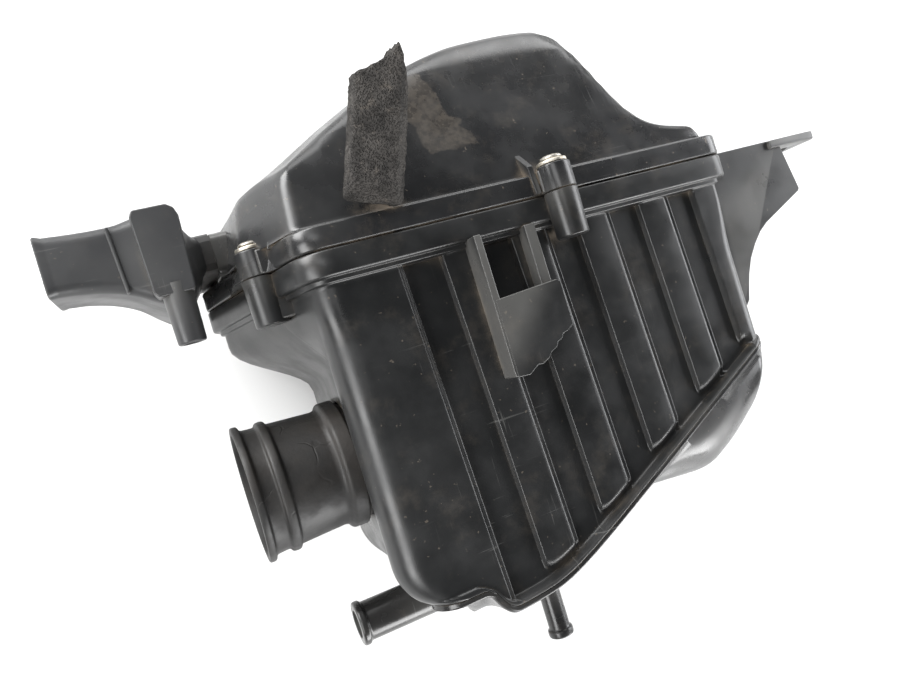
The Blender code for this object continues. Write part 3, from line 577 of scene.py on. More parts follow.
def metal(name, colour, rough=0.42, dust=0.4):
    """Dulled zinc plating with grey blotches and dust."""
    s = Shader(name, rough, metal=1.0)
    blotch = tuple(c * 0.55 for c in colour)
    base = s.blend(s.ramp(s.noise(420.0, 5.0), 0.4, 0.65), colour, blotch)
    film = s.maths('MULTIPLY', s.ramp(s.noise(300.0, 5.0), 0.42, 0.66), dust)
    base = s.blend(film, base, (0.30, 0.26, 0.20))
    rough_out = s.ramp(s.noise(500.0, 4.0), 0.3, 0.7, rough - 0.1, rough + 0.18)
    return s.finish(base, rough_out, s.bump(s.noise(1400.0, 3.0), 0.25, 0.0001))


def foam_material():
    """Open-cell foam: pitted, matt, brown grey, with the pits painted darker as painted shade."""
    s = Shader("open_cell_foam", 1.0)
    s.bsdf.inputs["Specular IOR Level"].default_value = 0.15
    cells = s.node("ShaderNodeTexVoronoi", (("Vector", s.coords), ("Scale", 1700.0)))
    pits = s.ramp(cells.outputs["Distance"], 0.10, 0.62)
    blotch = s.ramp(s.noise(120.0, 6.0, 0.7), 0.35, 0.68)
    colour = s.blend(blotch, (0.030, 0.0285, 0.027), (0.060, 0.056, 0.052))
    # The cell pits are painted darker towards near-black: painted shade in the pores.
    shade = s.maths('ADD', s.maths('MULTIPLY', pits, 0.45), 0.55)
    colour = s.blend(shade, (0.012, 0.011, 0.010), colour)
    dusty = s.maths('MULTIPLY', s.ramp(s.noise(260.0, 5.0, 0.7), 0.55, 0.72), 0.35)
    colour = s.blend(dusty, colour, (0.16, 0.14, 0.12))
    rough_height = s.maths('ADD', s.noise(650.0, 4.0, 0.7), pits)
    return s.finish(colour, None, s.bump(rough_height, 0.9, 0.0008))


def paper_material():
    """Used pleated filter paper with patches of dirt."""
    s = Shader("filter_paper", 0.95)
    tan = s.ramp(s.noise(60.0, 6.0), 0.35, 0.7)
    colour = s.blend(tan, (0.50, 0.38, 0.20), (0.62, 0.50, 0.28))
    dirt = s.maths('MULTIPLY', s.ramp(s.noise(200.0, 6.0), 0.45, 0.7), 0.5)
    colour = s.blend(dirt, colour, (0.16, 0.12, 0.08))
    return s.finish(colour, None, s.bump(s.noise(1800.0, 4.0), 0.4, 0.0002))


COVER_MAT = plastic("cover_plastic", (0.011, 0.0113, 0.0120), (0.018, 0.0182, 0.0184),
                    0.27, 0.85, residue)
CASE_MAT = plastic("case_plastic", (0.0065, 0.0068, 0.0070), (0.0125, 0.0128, 0.0130),
                   0.34, 0.60)
CAP_MAT = plastic("cap_plastic", (0.011, 0.0110, 0.0112), (0.018, 0.0175, 0.0170), 0.27, 0.60)
SNORKEL_MAT = plastic("snorkel_plastic", (0.018, 0.0185, 0.020), (0.030, 0.0305, 0.031),
                      0.42, 0.45)
DUCT_MAT = rubber("duct_rubber", (0.0045, 0.0042, 0.0040), (0.010, 0.0092, 0.0084), 0.08)
SEAL_MAT = rubber("seal_rubber", (0.014, 0.014, 0.014), (0.028, 0.027, 0.026), 0.15, False)
LIP_MAT = rubber("element_lip", (0.030, 0.030, 0.032), (0.055, 0.052, 0.050), 0.25, False)
FRAME_MAT = plastic("element_frame", (0.040, 0.040, 0.043), (0.060, 0.060, 0.062), 0.5, 0.5)
PAPER_MAT = paper_material()
FOAM_MAT = foam_material()
SCREW_MAT = metal("screw_steel", (0.42, 0.40, 0.36))
WASHER_MAT = metal("washer_steel", (0.66, 0.62, 0.54), 0.5, 0.5)


# ---- lower case ----
def case_shell():
    """Ribbed case: flange band, shelf, walls with relief, weld bead, inside, ledge, groove."""
    flange = {}

    def fl(d):
        """Flange outline d mm in; the outermost two are wider at the right."""
        if d not in flange:
            flange[d] = outline(WIDE_CORNERS if d < 2.0 else FLANGE_CORNERS, RIB_TOP_X, d)
        return flange[d]
    body = outline(BODY_CORNERS, RIB_X)
    lips = {d: outline(BODY_CORNERS, RIB_X, -d) for d in (0.1, 0.45, 0.85, 1.0)}
    body_in = outline(INNER_CORNERS, RIB_X)
    wall, wall_in = fl(FLANGE_OUT), fl(FLANGE_OUT + WALL + RIB_DEPTH)
    band = ((1.0, -SEAM), (0.35, -0.35), (0.0, -0.9), (0.0, -4.5), (0.0, -8.0), (0.3, -8.7),
            (1.0, -9.0), (2.3, -9.05), (2.5, -9.3), (2.5, -10.4), (2.8, -10.75), (3.6, -10.8))
    upper = (-11.2, -12.5, -14.0, -16.5, -19.0, -22.0, -25.0, -28.0, -31.0, -34.0, -37.0, -40.0)
    fine, middle = 44, 16
    verts = []
    for i in range(COUNT):
        front = i >= SIDE
        x0 = body[i][0]
        low = weld_y(x0)
        col = [(fl(d)[i][0], y, fl(d)[i][1]) for d, y in band]
        fine_top = low + 24.0
        ys = list(upper)
        ys += [mix(-SHELF_END, fine_top, k / middle) for k in range(1, middle + 1)]
        ys += [mix(fine_top, low + 2.6, k / fine) for k in range(1, fine + 1)]
        for y in ys:
            deep = 3.0 * smooth(-84.0, -96.0, wall[i][0])
            w = smooth(SHELF_TOP + deep, SHELF_END + deep, -y)
            wx, wz = mix(wall[i][0], body[i][0], w), mix(wall[i][1], body[i][1], w)
            if front:
                wx = x0 - lean(x0, y)
                wz -= rib_relief(x0, y, low)
            col.append((wx + tuck(x0, y, body[i][1]), y, wz))
        drop = rib_relief(x0, low + 2.6, low) if front else 0.0
        for d, rise in ((0.1, 2.4), (0.45, 2.15), (0.85, 1.75), (1.0, 1.3), (1.0, 0.6),
                        (0.85, SEAM)):
            settle = drop * smooth(1.2, 2.6, rise)
            px, pz = lips[d][i]
            col.append((px + tuck(x0, low + rise, body[i][1]), low + rise, pz - settle))
        for y in (low + SEAM, low + 8.0, mix(low, -SHELF_END, 0.4), mix(low, -SHELF_END, 0.75),
                  -SHELF_END, -35.0, -31.0, -27.0, -23.0, -17.0):
            w = smooth(SHELF_TOP, SHELF_END, -y)
            ix, iz = mix(wall_in[i][0], body_in[i][0], w), mix(wall_in[i][1], body_in[i][1], w)
            col.append((ix + tuck(x0, y, body[i][1]), y, iz))
        for d, y in ((13.5, -17.0), (13.5, -14.2), (9.2, -14.2), (9.2, -0.4), (8.9, -SEAM),
                     (7.6, -SEAM), (7.6, -2.8), (5.2, -2.8), (5.2, -SEAM)):
            col.append((fl(d)[i][0], y, fl(d)[i][1]))
        verts.extend(col)
    rows = len(verts) // COUNT
    ob = to_object("case_shell", verts, ring_faces(COUNT, rows), CASE_MAT, "case",
                   nodes=("lower_case",), slot="case_plastic", sharp=55.0)
    cut_round(ob, DUCT_HOLE_R, (-69.0, DUCT_Y, DUCT_Z), (1, 0, 0), 12.0)


def case_details():
    kw = {"mat": CASE_MAT, "body": "case", "slot": "case_plastic"}
    for n, (bx, bz) in enumerate(BOSSES, 1):
        r = boss_radius(n)
        profile = rounded(((0.0, -BOSS_LOW), (r - 0.4, -BOSS_LOW), (r, -0.35), (r - 0.3, -SEAM),
                           (BORE_R, -SEAM), (BORE_R, -BOSS_LOW + 2.0), (0.0, -BOSS_LOW + 2.0)),
                          (0, 0.8, 0, 0, 0, 0, 0), 6)
        turned("case_boss_%d" % n, profile, (bx, 0, bz), (0, 1, 0), steps=56, **kw)
    # blocks that join the two front bosses to the wall
    block("case_boss_block_1", (-87.0, -16.0, 86.0), (-78.2, -0.3, 97.4), bevel=0.9, **kw)
    block("case_boss_block_2", (13.0, -8.8, 112.0), (24.4, -0.3, 122.0), bevel=0.9, **kw)
    # cable clip
    block("clip_side", (-20.4, -58.0, 112.0), (-17.6, -8.5, 125.5), bevel=0.5, **kw)
    block("clip_strap", (1.0, -36.0, 112.0), (5.2, -8.7, 121.6), bevel=0.5, **kw)
    hook = ((-19.6, -31.2), (5.0, -30.0), (6.4, -31.0), (6.3, -46.6), (3.8, -48.2),
            (1.4, -48.8), (0.6, -50.2), (-1.4, -50.9), (-2.2, -52.4), (-5.0, -53.6),
            (-6.3, -55.2), (-9.5, -56.6), (-11.0, -56.2), (-15.0, -58.6), (-19.6, -58.2))
    slab("clip_hook", hook, 123.0, 125.6, bevel=0.45, **kw)
    block("clip_hook_side", (3.6, -46.6, 112.0), (6.35, -30.8, 124.8), bevel=0.7, **kw)


def bracket():
    """Side bracket with its end tab, hole and gusset."""
    kw = {"mat": CASE_MAT, "body": "case", "slot": "case_plastic"}
    web = ((88.0, -10.5), (89.0, -70.0), (99.0, -69.0), (104.5, -66.0), (109.6, -61.0),
           (111.4, -56.0), (113.9, -50.0), (117.2, -44.0), (121.7, -38.5), (126.4, -34.0),
           (131.2, -31.0), (154.2, -21.2), (155.0, -20.0), (150.8, 3.0), (149.8, 3.9),
           (107.0, 3.9), (106.4, 3.2), (106.4, -8.0), (100.0, -10.5))
    slab("bracket_web", web, 92.1, 95.1, bevel=0.7, **kw)
    tab = ((144.0, 70.2), (167.5, 70.2), (171.0, 71.6), (173.6, 74.6), (174.3, 78.0),
           (174.3, 90.0), (173.2, 93.6), (170.6, 96.2), (167.0, 96.9), (144.0, 96.9))
    ob = slab("bracket_tab", tab, 0.2, 3.7, axis='Y', bevel=0.6, **kw)
    apply_all(ob)
    cut_round(ob, TAB_HOLE_R, TAB_HOLE, (0, 1, 0), 10.0)
    lug = ((146.0, 0.9), (158.8, 0.9), (157.4, -6.0), (158.2, -8.4), (156.0, -12.6),
           (152.0, -16.8), (146.0, -16.8))
    slab("bracket_lug", lug, 82.1, 86.4, bevel=0.5, **kw)
    block("bracket_rib", (145.6, -15.8, 83.2), (148.6, 1.8, 93.3), bevel=0.5, **kw)


# ---- bottom cap ----
def cap_point(x, z, d):
    """Point of the cap's outer skin, d millimetres in from its rim."""
    w = smooth(WELD_KNEE_X - 12.0, WELD_KNEE_X + 12.0, x)
    n = Vector((WELD_SLOPE * w, -1.0)).normalized()
    reach = min(1.0, d / 34.0)
    full = smooth(BULGE_FROM, BULGE_TO, x)
    share = full * math.sqrt(1.0 - (1.0 - reach) ** 2.2) + (1.0 - full) * reach ** 1.7
    depth = 2.2 + share * (7.6 + 19.2 * full)
    y = weld_y(x, d) + n.y * depth
    sideways = n.x * depth * (1.0 - 0.85 * smooth(58.0, 92.0, x))
    return x + sideways + tuck(x, max(y, -124.0), z), y, z


def inward(point, spine, d):
    """Point moved d mm towards the middle line, and how far it then is from that line."""
    x, z = point
    cx = max(spine[0], min(spine[1], x))
    far = math.hypot(x - cx, z - SPINE_Z)
    return cx + (x - cx) * (far - d) / far, SPINE_Z + (z - SPINE_Z) * (far - d) / far, far - d


def dish_columns(rim, spine, insets, surface):
    """Columns from near the middle line out to the rim."""
    inner_rows, stop = 8, 3.0
    cols = []
    for p in rim:
        deepest = inward(p, spine, 0.0)[2] - stop
        steps = [mix(deepest, insets[-1], k / inner_rows) if deepest > insets[-1] else deepest
                 for k in range(inner_rows)]
        col = []
        for d in steps + list(reversed(insets)):
            x, z, _ = inward(p, spine, min(d, deepest))
            col.append(surface(x, z, d))
        cols.append(col)
    return cols


def two_skins(cols, thick, side, join):
    """Outer columns, joining columns and an inner skin at an even distance.

    side is +1 for a dish that is open downwards and -1 for one that is open upwards.
    """
    count, rows = len(cols), len(cols[0])
    pts = np.array(cols, float)
    around = np.roll(pts, -1, 0) - np.roll(pts, 1, 0)
    across = np.gradient(pts, axis=1)
    n = np.cross(around, across)
    n /= np.maximum(np.linalg.norm(n, axis=2, keepdims=True), 1e-9)
    lean_out = np.zeros_like(pts)
    lean_out[..., 1] = side
    lean_out += (pts - pts[:, :1]) * 0.02
    flip = np.where((n * lean_out).sum(2, keepdims=True) < 0.0, -1.0, 1.0)
    inner = pts - n * flip * thick
    verts = []
    for i in range(count):
        verts.extend(map(tuple, pts[i]))
        verts.extend(join[i])
        verts.extend(map(tuple, inner[i][::-1]))
    size = rows * 2 + len(join[0])
    faces = ring_faces(count, size, False)
    for tri in zip_strip([tuple(c[0]) for c in pts]):
        faces.append(tuple(t * size for t in tri))
        faces.append(tuple(t * size + size - 1 for t in tri[::-1]))
    return verts, faces


def cap_shell():
    body = outline(BODY_CORNERS, RIB_X)
    lip = {d: outline(BODY_CORNERS, RIB_X, -d) for d in (0.5, 0.85, 1.0)}
    body_in = outline(INNER_CORNERS, RIB_X)
    insets = (0.3, 0.8, 1.4, 2.2, 3.2, 4.5, 6.0, 8.0, 10.5, 13.5, 17.0, 21.0, 25.0)
    cols = dish_columns(body, CAP_SPINE, insets, cap_point)
    join = []
    for i in range(COUNT):
        x0 = body[i][0]
        low = weld_y(x0)

        def at(loop, drop, i=i, x0=x0, low=low):
            return loop[i][0] + tuck(x0, low, body[i][1]), low - drop, loop[i][1]
        join.append([at(lip[0.5], 1.95), at(lip[0.85], 1.7), at(lip[1.0], 1.3), at(lip[1.0], 0.5),
                     at(lip[0.85], SEAM), at(body_in, SEAM)])
    verts, faces = two_skins(cols, WALL, -1.0, join)
    kw = {"mat": CAP_MAT, "body": "case", "slot": "cap_plastic"}
    to_object("cap_shell", verts, faces, nodes=("bottom_cap",), sharp=50.0, **kw)
    spigot = rounded(((5.5, 17.0), (7.6, 17.0), (7.6, -18.6), (8.6, -19.4), (8.6, -22.0),
                      (5.5, -22.0)), (0, 0, 0.8, 0.7, 1.2, 0), 5)
    turned("breather_spigot", spigot, SPIGOT_AT, (1, 0, 0), steps=56, closed=True, **kw)
    nipple = rounded(((2.5, -137.0), (4.1, -137.0), (4.1, -157.0), (4.9, -157.8), (4.9, -160.4),
                      (2.5, -160.4)), (0, 0, 0.6, 0.5, 0.9, 0), 5)
    turned("drain_nipple", nipple, NIPPLE_AT, (0, 1, 0), steps=48, closed=True, **kw)


# ---- upper cover ----
def roof(x, z):
    """Outer roof height, falling off slightly towards front and back."""
    top = spline(ROOF, x)
    fall = 7.0 * smooth(86.0, 118.0, z) + 5.0 * smooth(40.0, 8.0, z)
    return top - fall * smooth(14.0, 40.0, top)


def cover_shell():
    xs = [84.0 - 1.9 * k for k in range(76)]
    count = len(outline(FLANGE_CORNERS, xs))
    loops = {d: outline(WIDE_CORNERS, xs, d) for d in (0.0, 0.3, 0.35, 0.9, 1.0)}
    loops.update({d: outline(FOOT_CORNERS, xs, d) for d in (3.3, 3.8, 4.0, 9.2)})
    insets = (0.25, 0.5, 0.8, 1.2, 1.7, 2.3, 3.0, 3.9, 5.0, 6.3, 7.8, 9.6, 11.6, 14.0, 17.0,
              20.5, 24.5)

    def surface(x, z, d):
        """Steep side wall that runs into the roof."""
        y = soft_min(FLANGE_TOP + d * 4.2, roof(x, z), 7.0)
        return x, max(y, FLANGE_TOP + d * 0.5), z
    cols = dish_columns(loops[FLANGE_OUT], COVER_SPINE, insets, surface)
    join = []
    for i in range(count):
        join.append([(loops[d][i][0], y, loops[d][i][1]) for d, y in
                     ((3.8, 8.2), (3.3, 8.0), (0.9, 8.0), (0.3, 7.75), (0.0, 7.2), (0.0, 4.0),
                      (0.0, 0.9), (0.35, 0.35), (1.0, SEAM), (9.2, SEAM))])
    verts, faces = two_skins(cols, WALL, 1.0, join)
    ob = to_object("cover_shell", verts, faces, COVER_MAT, "cover", nodes=("upper_cover",),
                   slot="cover_plastic", sharp=50.0)
    inlet = (9.7, 23.6, 20.1, 67.9, 3.4)
    cut(ob, tube_x("hole_tool", [(x, *inlet) for x in (-106.0, -78.6)], COVER_MAT, "cover",
                   caps=True))


def cover_details():
    kw = {"mat": COVER_MAT, "body": "cover", "slot": "cover_plastic"}
    for n, (bx, bz) in enumerate(BOSSES, 1):
        r = boss_radius(n)
        profile = rounded(((BORE_R, SEAM), (r - 0.3, SEAM), (r, 0.4), (r, BOSS_HIGH),
                           (BORE_R, BOSS_HIGH)), (0, 0, 0, 0.6, 0), 4)
        turned("cover_boss_%d" % n, profile, (bx, 0, bz), (0, 1, 0), steps=48, closed=True, **kw)
    block("cover_boss_block_1", (-87.0, 0.3, 86.0), (-77.0, 8.7, 99.4), bevel=0.8, **kw)
    block("cover_boss_block_2", (12.2, 0.3, 112.0), (25.4, 8.7, 122.2), bevel=0.8, **kw)
    fin = ((-69.6, 7.0), (-71.2, 19.8), (-72.2, 20.3), (-82.6, 9.3), (-83.4, 7.0))
    slab("cover_fin_1", fin, 101.4, 103.8, bevel=0.35, **kw)
    fin = ((0.6, 112.0), (17.0, 106.0), (18.6, 112.2), (11.0, 120.6), (0.6, 121.6))
    slab("cover_fin_2", fin, 9.6, 11.8, axis='X', bevel=0.35, **kw)
    outside, inside = (7.9, 24.3, 18.1, 69.2, 3.8), (9.5, 23.4, 19.9, 67.6, 3.0)
    collar = [(-97.0, 8.4, 23.8, 18.6, 68.6, 3.4), (-96.6, *outside), (-86.1, *outside),
              (-86.1, *inside), (-97.0, *inside)]
    tube_x("cover_collar", collar, **kw)


def rect_loop(y0, y1, z0, z1, rad, x, steps=6):
    """Rounded rectangle in the YZ plane at x."""
    pts = []
    spots = ((y1 - rad, z1 - rad, 0), (y0 + rad, z1 - rad, 90), (y0 + rad, z0 + rad, 180),
             (y1 - rad, z0 + rad, 270))
    for cy, cz, start in spots:
        for k in range(steps + 1):
            a = math.radians(start + 90.0 * k / steps)
            pts.append((x, cy + rad * math.cos(a), cz + rad * math.sin(a)))
    return pts


def tube_x(name, sections, mat, body, caps=False, **kw):
    """Rectangular tube whose sections run out along the outside and back inside."""
    loops = [rect_loop(y0, y1, z0, z1, rad, x) for x, y0, y1, z0, z1, rad in sections]
    count, rows = len(loops[0]), len(loops)
    verts = [loop[i] for i in range(count) for loop in loops]
    faces = ring_faces(count, rows, not caps)
    if caps:
        faces.append([i * rows for i in range(count)])
        faces.append([i * rows + rows - 1 for i in range(count)][::-1])
    return to_object(name, verts, faces, mat, body, **kw)


# ---- snorkel ----
def blend_sections(sections, steps):
    """More sections between the given ones, on smooth curves along x."""
    out = []
    xs = [s[0] for s in sections]
    order = sorted(range(len(xs)), key=lambda k: xs[k])
    curves = [[(xs[k], sections[k][c]) for k in order] for c in range(1, 6)]
    lo, hi = min(xs), max(xs)
    for k in range(steps + 1):
        x = mix(lo, hi, k / steps)
        out.append((x, *[spline(c, x) for c in curves]))
    return out if xs[0] == lo else out[::-1]


def snorkel():
    """Flat rectangular inlet with a bend ridge, a wedge pad, a peg and a dusty neck."""
    kw = {"mat": SNORKEL_MAT, "body": "snorkel", "slot": "snorkel_plastic"}
    outer = blend_sections([(-149.0, 9.9, 30.0, 60.6, 91.4, 3.6),
                            (-142.0, 9.2, 29.6, 58.6, 91.0, 4.0),
                            (-134.0, 7.6, 29.3, 53.5, 90.6, 4.0),
                            (-127.0, 5.0, 29.5, 45.5, 90.4, 4.0),
                            (-121.0, 1.2, 30.6, 33.5, 90.8, 4.5),
                            (-116.0, -1.3, 31.2, 24.5, 91.2, 4.5),
                            (-110.6, -2.4, 31.0, 18.8, 91.2, 4.5)], 44)
    lip = [(-151.6, 10.2, 30.2, 61.0, 91.3, 2.6), (-151.2, 9.8, 30.6, 60.6, 91.7, 3.0),
           (-150.4, 9.7, 30.5, 60.5, 91.7, 3.3)]
    neck = [(-109.4, -2.2, 30.4, 19.0, 90.7, 4.3)]
    neck += blend_sections([(-109.0, -0.6, 28.6, 20.4, 89.0, 4.0),
                            (-107.0, 3.4, 26.6, 21.0, 84.0, 3.8),
                            (-103.5, 8.8, 24.2, 21.7, 73.0, 3.4),
                            (-99.5, 11.5, 23.1, 22.1, 66.6, 3.0),
                            (-95.4, 11.8, 22.9, 22.1, 65.9, 3.0)], 16)
    neck += [(-95.0, 12.2, 22.6, 22.5, 65.5, 2.8)]
    throat = (13.6, 21.2, 24.0, 64.0, 2.0)
    inner = blend_sections([(-111.5, *throat), (-123.0, 6.0, 26.6, 40.5, 86.5, 2.5),
                            (-132.0, 8.6, 26.4, 54.0, 88.0, 3.0),
                            (-147.0, 12.0, 27.6, 63.2, 88.8, 3.0)], 24)
    mouth = [(-151.0, 11.3, 29.3, 62.2, 90.3, 2.5), (-151.6, 10.4, 30.3, 61.2, 91.3, 2.6)]
    tube_x("snorkel_shell", lip + outer + neck + [(-95.0, *throat)] + inner + mouth,
           nodes=("intake_snorkel",), **kw)
    pad = ((-120.6, 30.8), (-109.8, 30.8), (-107.6, 29.2), (-106.7, 26.4), (-107.9, 2.2),
           (-108.6, 1.2), (-119.9, 1.2), (-121.2, 3.0), (-121.8, 28.8))
    slab("snorkel_pad", pad, 84.2, 96.4, bevel=2.6, **kw)
    ridge = ((-130.2, 28.4), (-128.8, 28.6), (-127.6, 6.0), (-129.0, 5.6))
    slab("snorkel_bend_ridge", ridge, 88.0, 91.1, bevel=0.6, **kw)
    peg = rounded(((0.0, 5.0), (5.2, 5.0), (4.7, -15.5), (2.9, -15.5), (2.9, 1.0), (0.0, 1.0)),
                  (0, 0, 0.8, 0.5, 0, 0), 4)
    turned("snorkel_peg", peg, (-113.8, 0.0, 91.5), (0, 1, 0), steps=48, **kw)


# ---- duct ----
def duct():
    """Round rubber outlet with a rolled lip, two beads and a flange on the wall."""
    beyond_bore = ((2.2, -108.9), (4.9, -108.9), (5.1, -107.8), (4.9, -106.4), (3.1, -105.8),
                   (2.8, -103.0), (2.7, -100.6), (4.0, -99.9), (4.2, -98.4), (4.0, -96.9),
                   (2.6, -96.2), (2.1, -88.0), (1.6, -79.0), (2.0, -77.5), (3.9, -76.2),
                   (3.9, -70.6), (1.5, -70.6), (1.5, -67.3), (3.7, -67.3), (3.2, -64.5),
                   (-1.2, -64.5), (-1.1, -84.0), (0.4, -98.0), (2.0, -108.2), (2.2, -108.9))
    profile = rounded([(DUCT_BORE + r, x) for r, x in beyond_bore], 0.9, 5)
    turned("duct_rubber_tube", profile, (DUCT_SHIFT_X, DUCT_Y - DUCT_DROP, DUCT_Z), (1, 0, 0),
           DUCT_MAT, "case", 120, nodes=("outlet_duct",), slot="duct_rubber", sharp=60.0)


# ---- foam pad ----
def foam():
    """Bar of open-cell foam with worn edges, sunken faces and a torn top corner."""
    noise.seed_set(FOAM_SEED)
    tilt = Matrix.Rotation(math.radians(FOAM_TILT), 3, 'X')
    rot = Matrix.Rotation(math.radians(FOAM_TURN), 3, 'Z')
    edge_round = 1.3
    section = ((-9.3, 0.3), (10.2, 0.3), (10.8, 3.2), (4.6, 13.6), (-9.2, 9.6))
    ring = []
    for i, p in enumerate(section):
        a, q = Vector(section[i - 1]), Vector(p)
        b = Vector(section[(i + 1) % len(section)])
        start = q + (a - q).normalized() * edge_round
        end = q + (b - q).normalized() * edge_round
        for k in range(4):
            t = k / 3.0
            ring.append(start * (1 - t) ** 2 + q * 2 * t * (1 - t) + end * t ** 2)
        last = b + (q - b).normalized() * edge_round
        steps = max(2, int((last - end).length / 0.7))
        ring.extend(end.lerp(last, k / steps) for k in range(1, steps))
    count, rows, shells = len(ring), 64, 7
    verts = []
    for p in ring:
        for k in range(rows):
            s = FOAM_LENGTH * k / (rows - 1)
            ends = min(s, FOAM_LENGTH - s)
            pull = 1.0 - 0.10 * (1.0 - min(1.0, ends / 1.6)) ** 2
            verts.append((p.x * pull, s, 5.5 + (p.y - 5.5) * pull))
    faces = ring_faces(count, rows, False)
    for k, turn in ((0, 1), (rows - 1, -1)):
        centre = len(verts)
        y = FOAM_LENGTH * k / (rows - 1)
        rim = [verts[i * rows + k] for i in range(count)]
        mid = Vector((sum(r[0] for r in rim) / count, y, sum(r[2] for r in rim) / count))
        for q in range(1, shells):
            verts.extend(tuple(Vector(r).lerp(mid, q / shells)) for r in rim)
        verts.append(tuple(mid))

        def index(i, q, k=k, centre=centre):
            if q == 0:
                return i * rows + k
            return centre + (q - 1) * count + i
        for i in range(count):
            j = (i + 1) % count
            for q in range(shells - 1):
                faces.append((index(i, q), index(j, q), index(j, q + 1), index(i, q + 1))[::turn])
            faces.append((index(i, shells - 1), index(j, shells - 1), len(verts) - 1)[::turn])
    out = []
    for v in verts:
        p = Vector(v)
        top = smooth(31.0, FOAM_LENGTH, p.y)
        tip = (2.0 * math.exp(-((p.x - 2.6) / 2.4) ** 2)
               + 3.4 * math.exp(-((p.x - 3.4) / 1.1) ** 2))
        p.y += top * (tip - 4.6 * smooth(1.5, -9.0, p.x) - 5.0 * smooth(4.5, 10.5, p.x))
        p.y += smooth(9.0, 0.0, p.y) * (6.0 * smooth(2.0, 12.0, p.z) * smooth(9.0, -2.0, p.x))
        n = noise.noise_vector(p * 0.35) * 0.45 + noise.noise_vector(p * 1.1) * 0.22
        n += noise.noise_vector(p * 2.4 + Vector((7.0, 3.0, 1.0))) * 0.12
        wear = noise.noise(p * 0.16 + Vector((3.0, 0.0, 5.0)))
        p += n * (1.0 + 0.8 * max(0.0, wear))
        p.z = max(p.z, 0.2)
        out.append(Vector(FOAM_BASE) + tilt @ (rot @ p))
    ob = to_object("foam_bar", out, faces, FOAM_MAT, "cover", nodes=("foam_pad",), slot="foam",
                   sharp=75.0)


# ---- screws ----
def screws():
    """Pan head screws with a cross recess, on flat pale washers."""
    for n, (bx, bz) in enumerate(BOSSES, 1):
        seat = BOSS_HIGH + GAP
        rim = WASHER_R + (FRONT_WASHER_EXTRA if n < 3 else 0.0)
        washer = rounded(((BORE_R, 0.0), (rim, 0.0), (rim, WASHER_H), (BORE_R, WASHER_H),
                          (BORE_R, 0.0)), (0, 0.25, 0.4, 0.2, 0), 3)
        turned("washer_%d" % n, washer, (bx, seat, bz), (0, 1, 0), WASHER_MAT, "cover", 56,
               nodes=("screw_washer_%d" % n,), slot="washer_steel")
        head = seat + WASHER_H + GAP
        shank = [(0.0, SHANK_END), (1.7, SHANK_END), (SHANK_R, SHANK_END + 0.8), (SHANK_R, head)]
        dome = [(HEAD_R - r, head + y) for r, y in ((0.5, 0.0), (0.2, 0.3), (0.2, 0.7), (0.5, 1.1),
                                                    (1.3, 1.5), (2.4, 1.72), (HEAD_R, HEAD_H))]
        body = "screw_%d" % n
        ob = turned(body, shank + dome, (bx, 0.0, bz), (0, 1, 0), SCREW_MAT, body, 56,
                    nodes=("cover_screw_%d" % n,), slot="screw_steel")
        for turn in (0.0, 90.0):
            tool = block("cross_tool", (-SHANK_R, head + RECESS_FLOOR, -RECESS_HALF_WIDTH),
                         (SHANK_R, head + 5.0, RECESS_HALF_WIDTH), SCREW_MAT, body, 0.05)
            apply_all(tool)
            spin = Matrix.Rotation(math.radians(turn + RECESS_TURN * n), 4, 'Y')
            home = Matrix.Translation(-SHIFT * MM)
            place = Matrix.Translation((Vector((bx, 0.0, bz)) - SHIFT) * MM)
            tool.data.transform(place @ spin @ home.inverted())
            cut(ob, tool)


# ---- CAD nodes that stay, with finished materials ----
def dress_cad_nodes():
    for name, mat, width in (("cover_seal", SEAL_MAT, 0.5), ("snorkel_seal", SEAL_MAT, 0.3),
                             ("element_frame", FRAME_MAT, 0.5), ("element_seal", LIP_MAT, 0.6),
                             ("element_media", PAPER_MAT, 0.0)):
        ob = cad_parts[name]
        ob.data.materials.clear()
        ob.data.materials.append(mat)
        if width:
            soften(ob, width, 40)


# ---- studio ----
CAM_HEIGHT, CAM_BASE_Z, CAM_AIM_Y = 355.0, 21.0, -38.7
CAM_ROLL, CAM_TILT = math.radians(17.0), math.radians(20.4)
SENSOR_WIDTH, FOCAL_LENGTH = 36.0, 30.0
WORLD_STRENGTH, FLOOR_HALF, FLOOR_DROP = 0.10, 3.0, 0.0004
WHITE = (1.0, 1.0, 1.0)
# name, place and target (m), size (m), power (W), colour
LIGHTS = (("left", (-0.66, 0.78, 0.42), (0.0, 0.0, 0.08), (1.0, 0.5), 24.0, WHITE),
          ("side", (-0.85, -0.25, 0.60), (0.0, 0.0, 0.06), (0.8, 0.4), 10.0, WHITE),
          ("far", (0.35, 0.95, 0.32), (0.0, 0.0, 0.08), (1.0, 0.4), 7.0, WHITE),
          ("right", (0.90, 0.05, 0.40), (0.0, 0.0, 0.06), (1.0, 0.5), 12.0, (0.97, 0.98, 1.0)),
          ("low", (0.36, -0.92, 0.34), (0.0, 0.0, 0.06), (1.2, 0.5), 21.0, WHITE),
          ("top", (-0.42, 0.30, 0.95), (0.0, 0.0, 0.05), (0.25, 0.5), 1.6, WHITE))


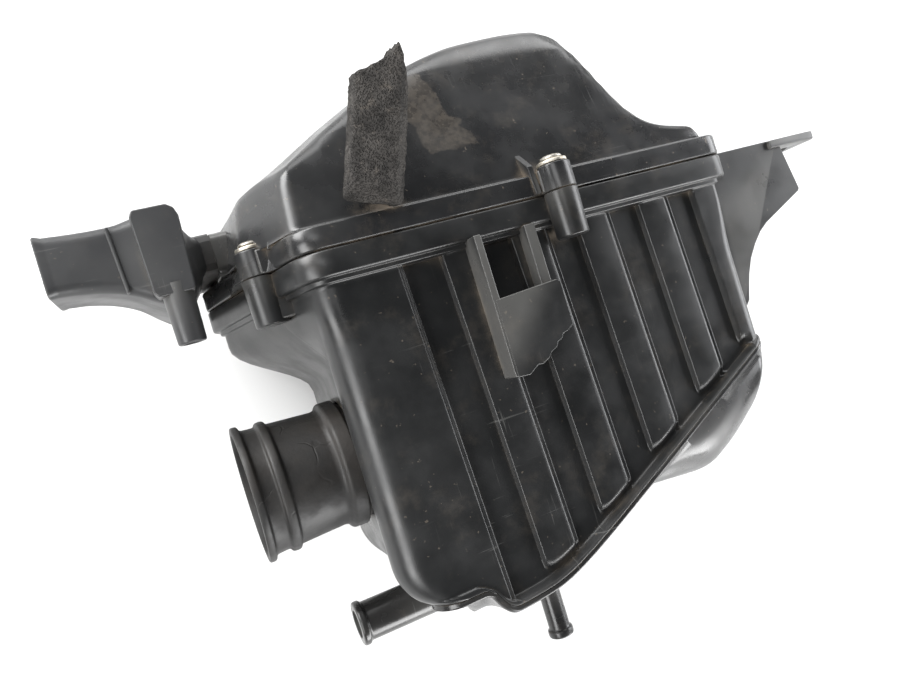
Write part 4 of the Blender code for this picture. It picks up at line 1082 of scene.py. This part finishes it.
def camera():
    """Camera above the ribbed face, tilted about the flange and rolled."""
    cr, sr = math.cos(CAM_ROLL), math.sin(CAM_ROLL)
    ct, st = math.cos(CAM_TILT), math.sin(CAM_TILT)
    spot = (Vector((-CAM_HEIGHT * st, CAM_AIM_Y, CAM_HEIGHT * ct + CAM_BASE_Z)) - SHIFT) * MM
    right = Vector((cr * ct, -sr, cr * st))
    up = Vector((sr * ct, cr, sr * st))
    back = Vector((-st, 0.0, ct))
    cam = bpy.data.cameras.new("camera")
    cam.sensor_width = SENSOR_WIDTH
    cam.lens = FOCAL_LENGTH
    cam.clip_start = 0.01
    ob = add("camera", cam)
    ob.matrix_world = Matrix(((right.x, up.x, back.x, spot.x), (right.y, up.y, back.y, spot.y),
                              (right.z, up.z, back.z, spot.z), (0.0, 0.0, 0.0, 1.0)))
    bpy.context.scene.camera = ob


def area_light(name, spot, target, size, power, colour):
    light = bpy.data.lights.new(name, 'AREA')
    light.shape = 'RECTANGLE'
    light.size, light.size_y = size
    light.energy = power
    light.color = colour
    ob = add(name, light)
    ob.location = spot
    ob.rotation_euler = (Vector(target) - Vector(spot)).to_track_quat('-Z', 'Y').to_euler()


def studio():
    """Plain pale floor, dim white surroundings and soft lights, strongest from the upper left."""
    bpy.context.scene.view_settings.view_transform = 'Standard'
    world = bpy.data.worlds.new("world")
    world.use_nodes = True
    background = world.node_tree.nodes["Background"]
    background.inputs[0].default_value = (0.93, 0.96, 1.0, 1.0)
    background.inputs[1].default_value = WORLD_STRENGTH
    bpy.context.scene.world = world
    me = bpy.data.meshes.new("floor")
    me.from_pydata([(x * FLOOR_HALF, y * FLOOR_HALF, 0)
                    for x, y in ((-1, -1), (1, -1), (1, 1), (-1, 1))], [], [(0, 1, 2, 3)])
    s = Shader("floor_paper", 0.9)
    me.materials.append(s.finish(s.blend(s.noise(3.0, 2.0), (0.66, 0.66, 0.655),
                                         (0.69, 0.69, 0.685))))
    floor = add("floor", me)
    floor.location.z = -FLOOR_DROP
    for light in LIGHTS:
        area_light(*light)


def main():
    case_shell()
    case_details()
    bracket()
    cap_shell()
    cover_shell()
    cover_details()
    snorkel()
    duct()
    foam()
    screws()
    dress_cad_nodes()
    camera()
    studio()


main()
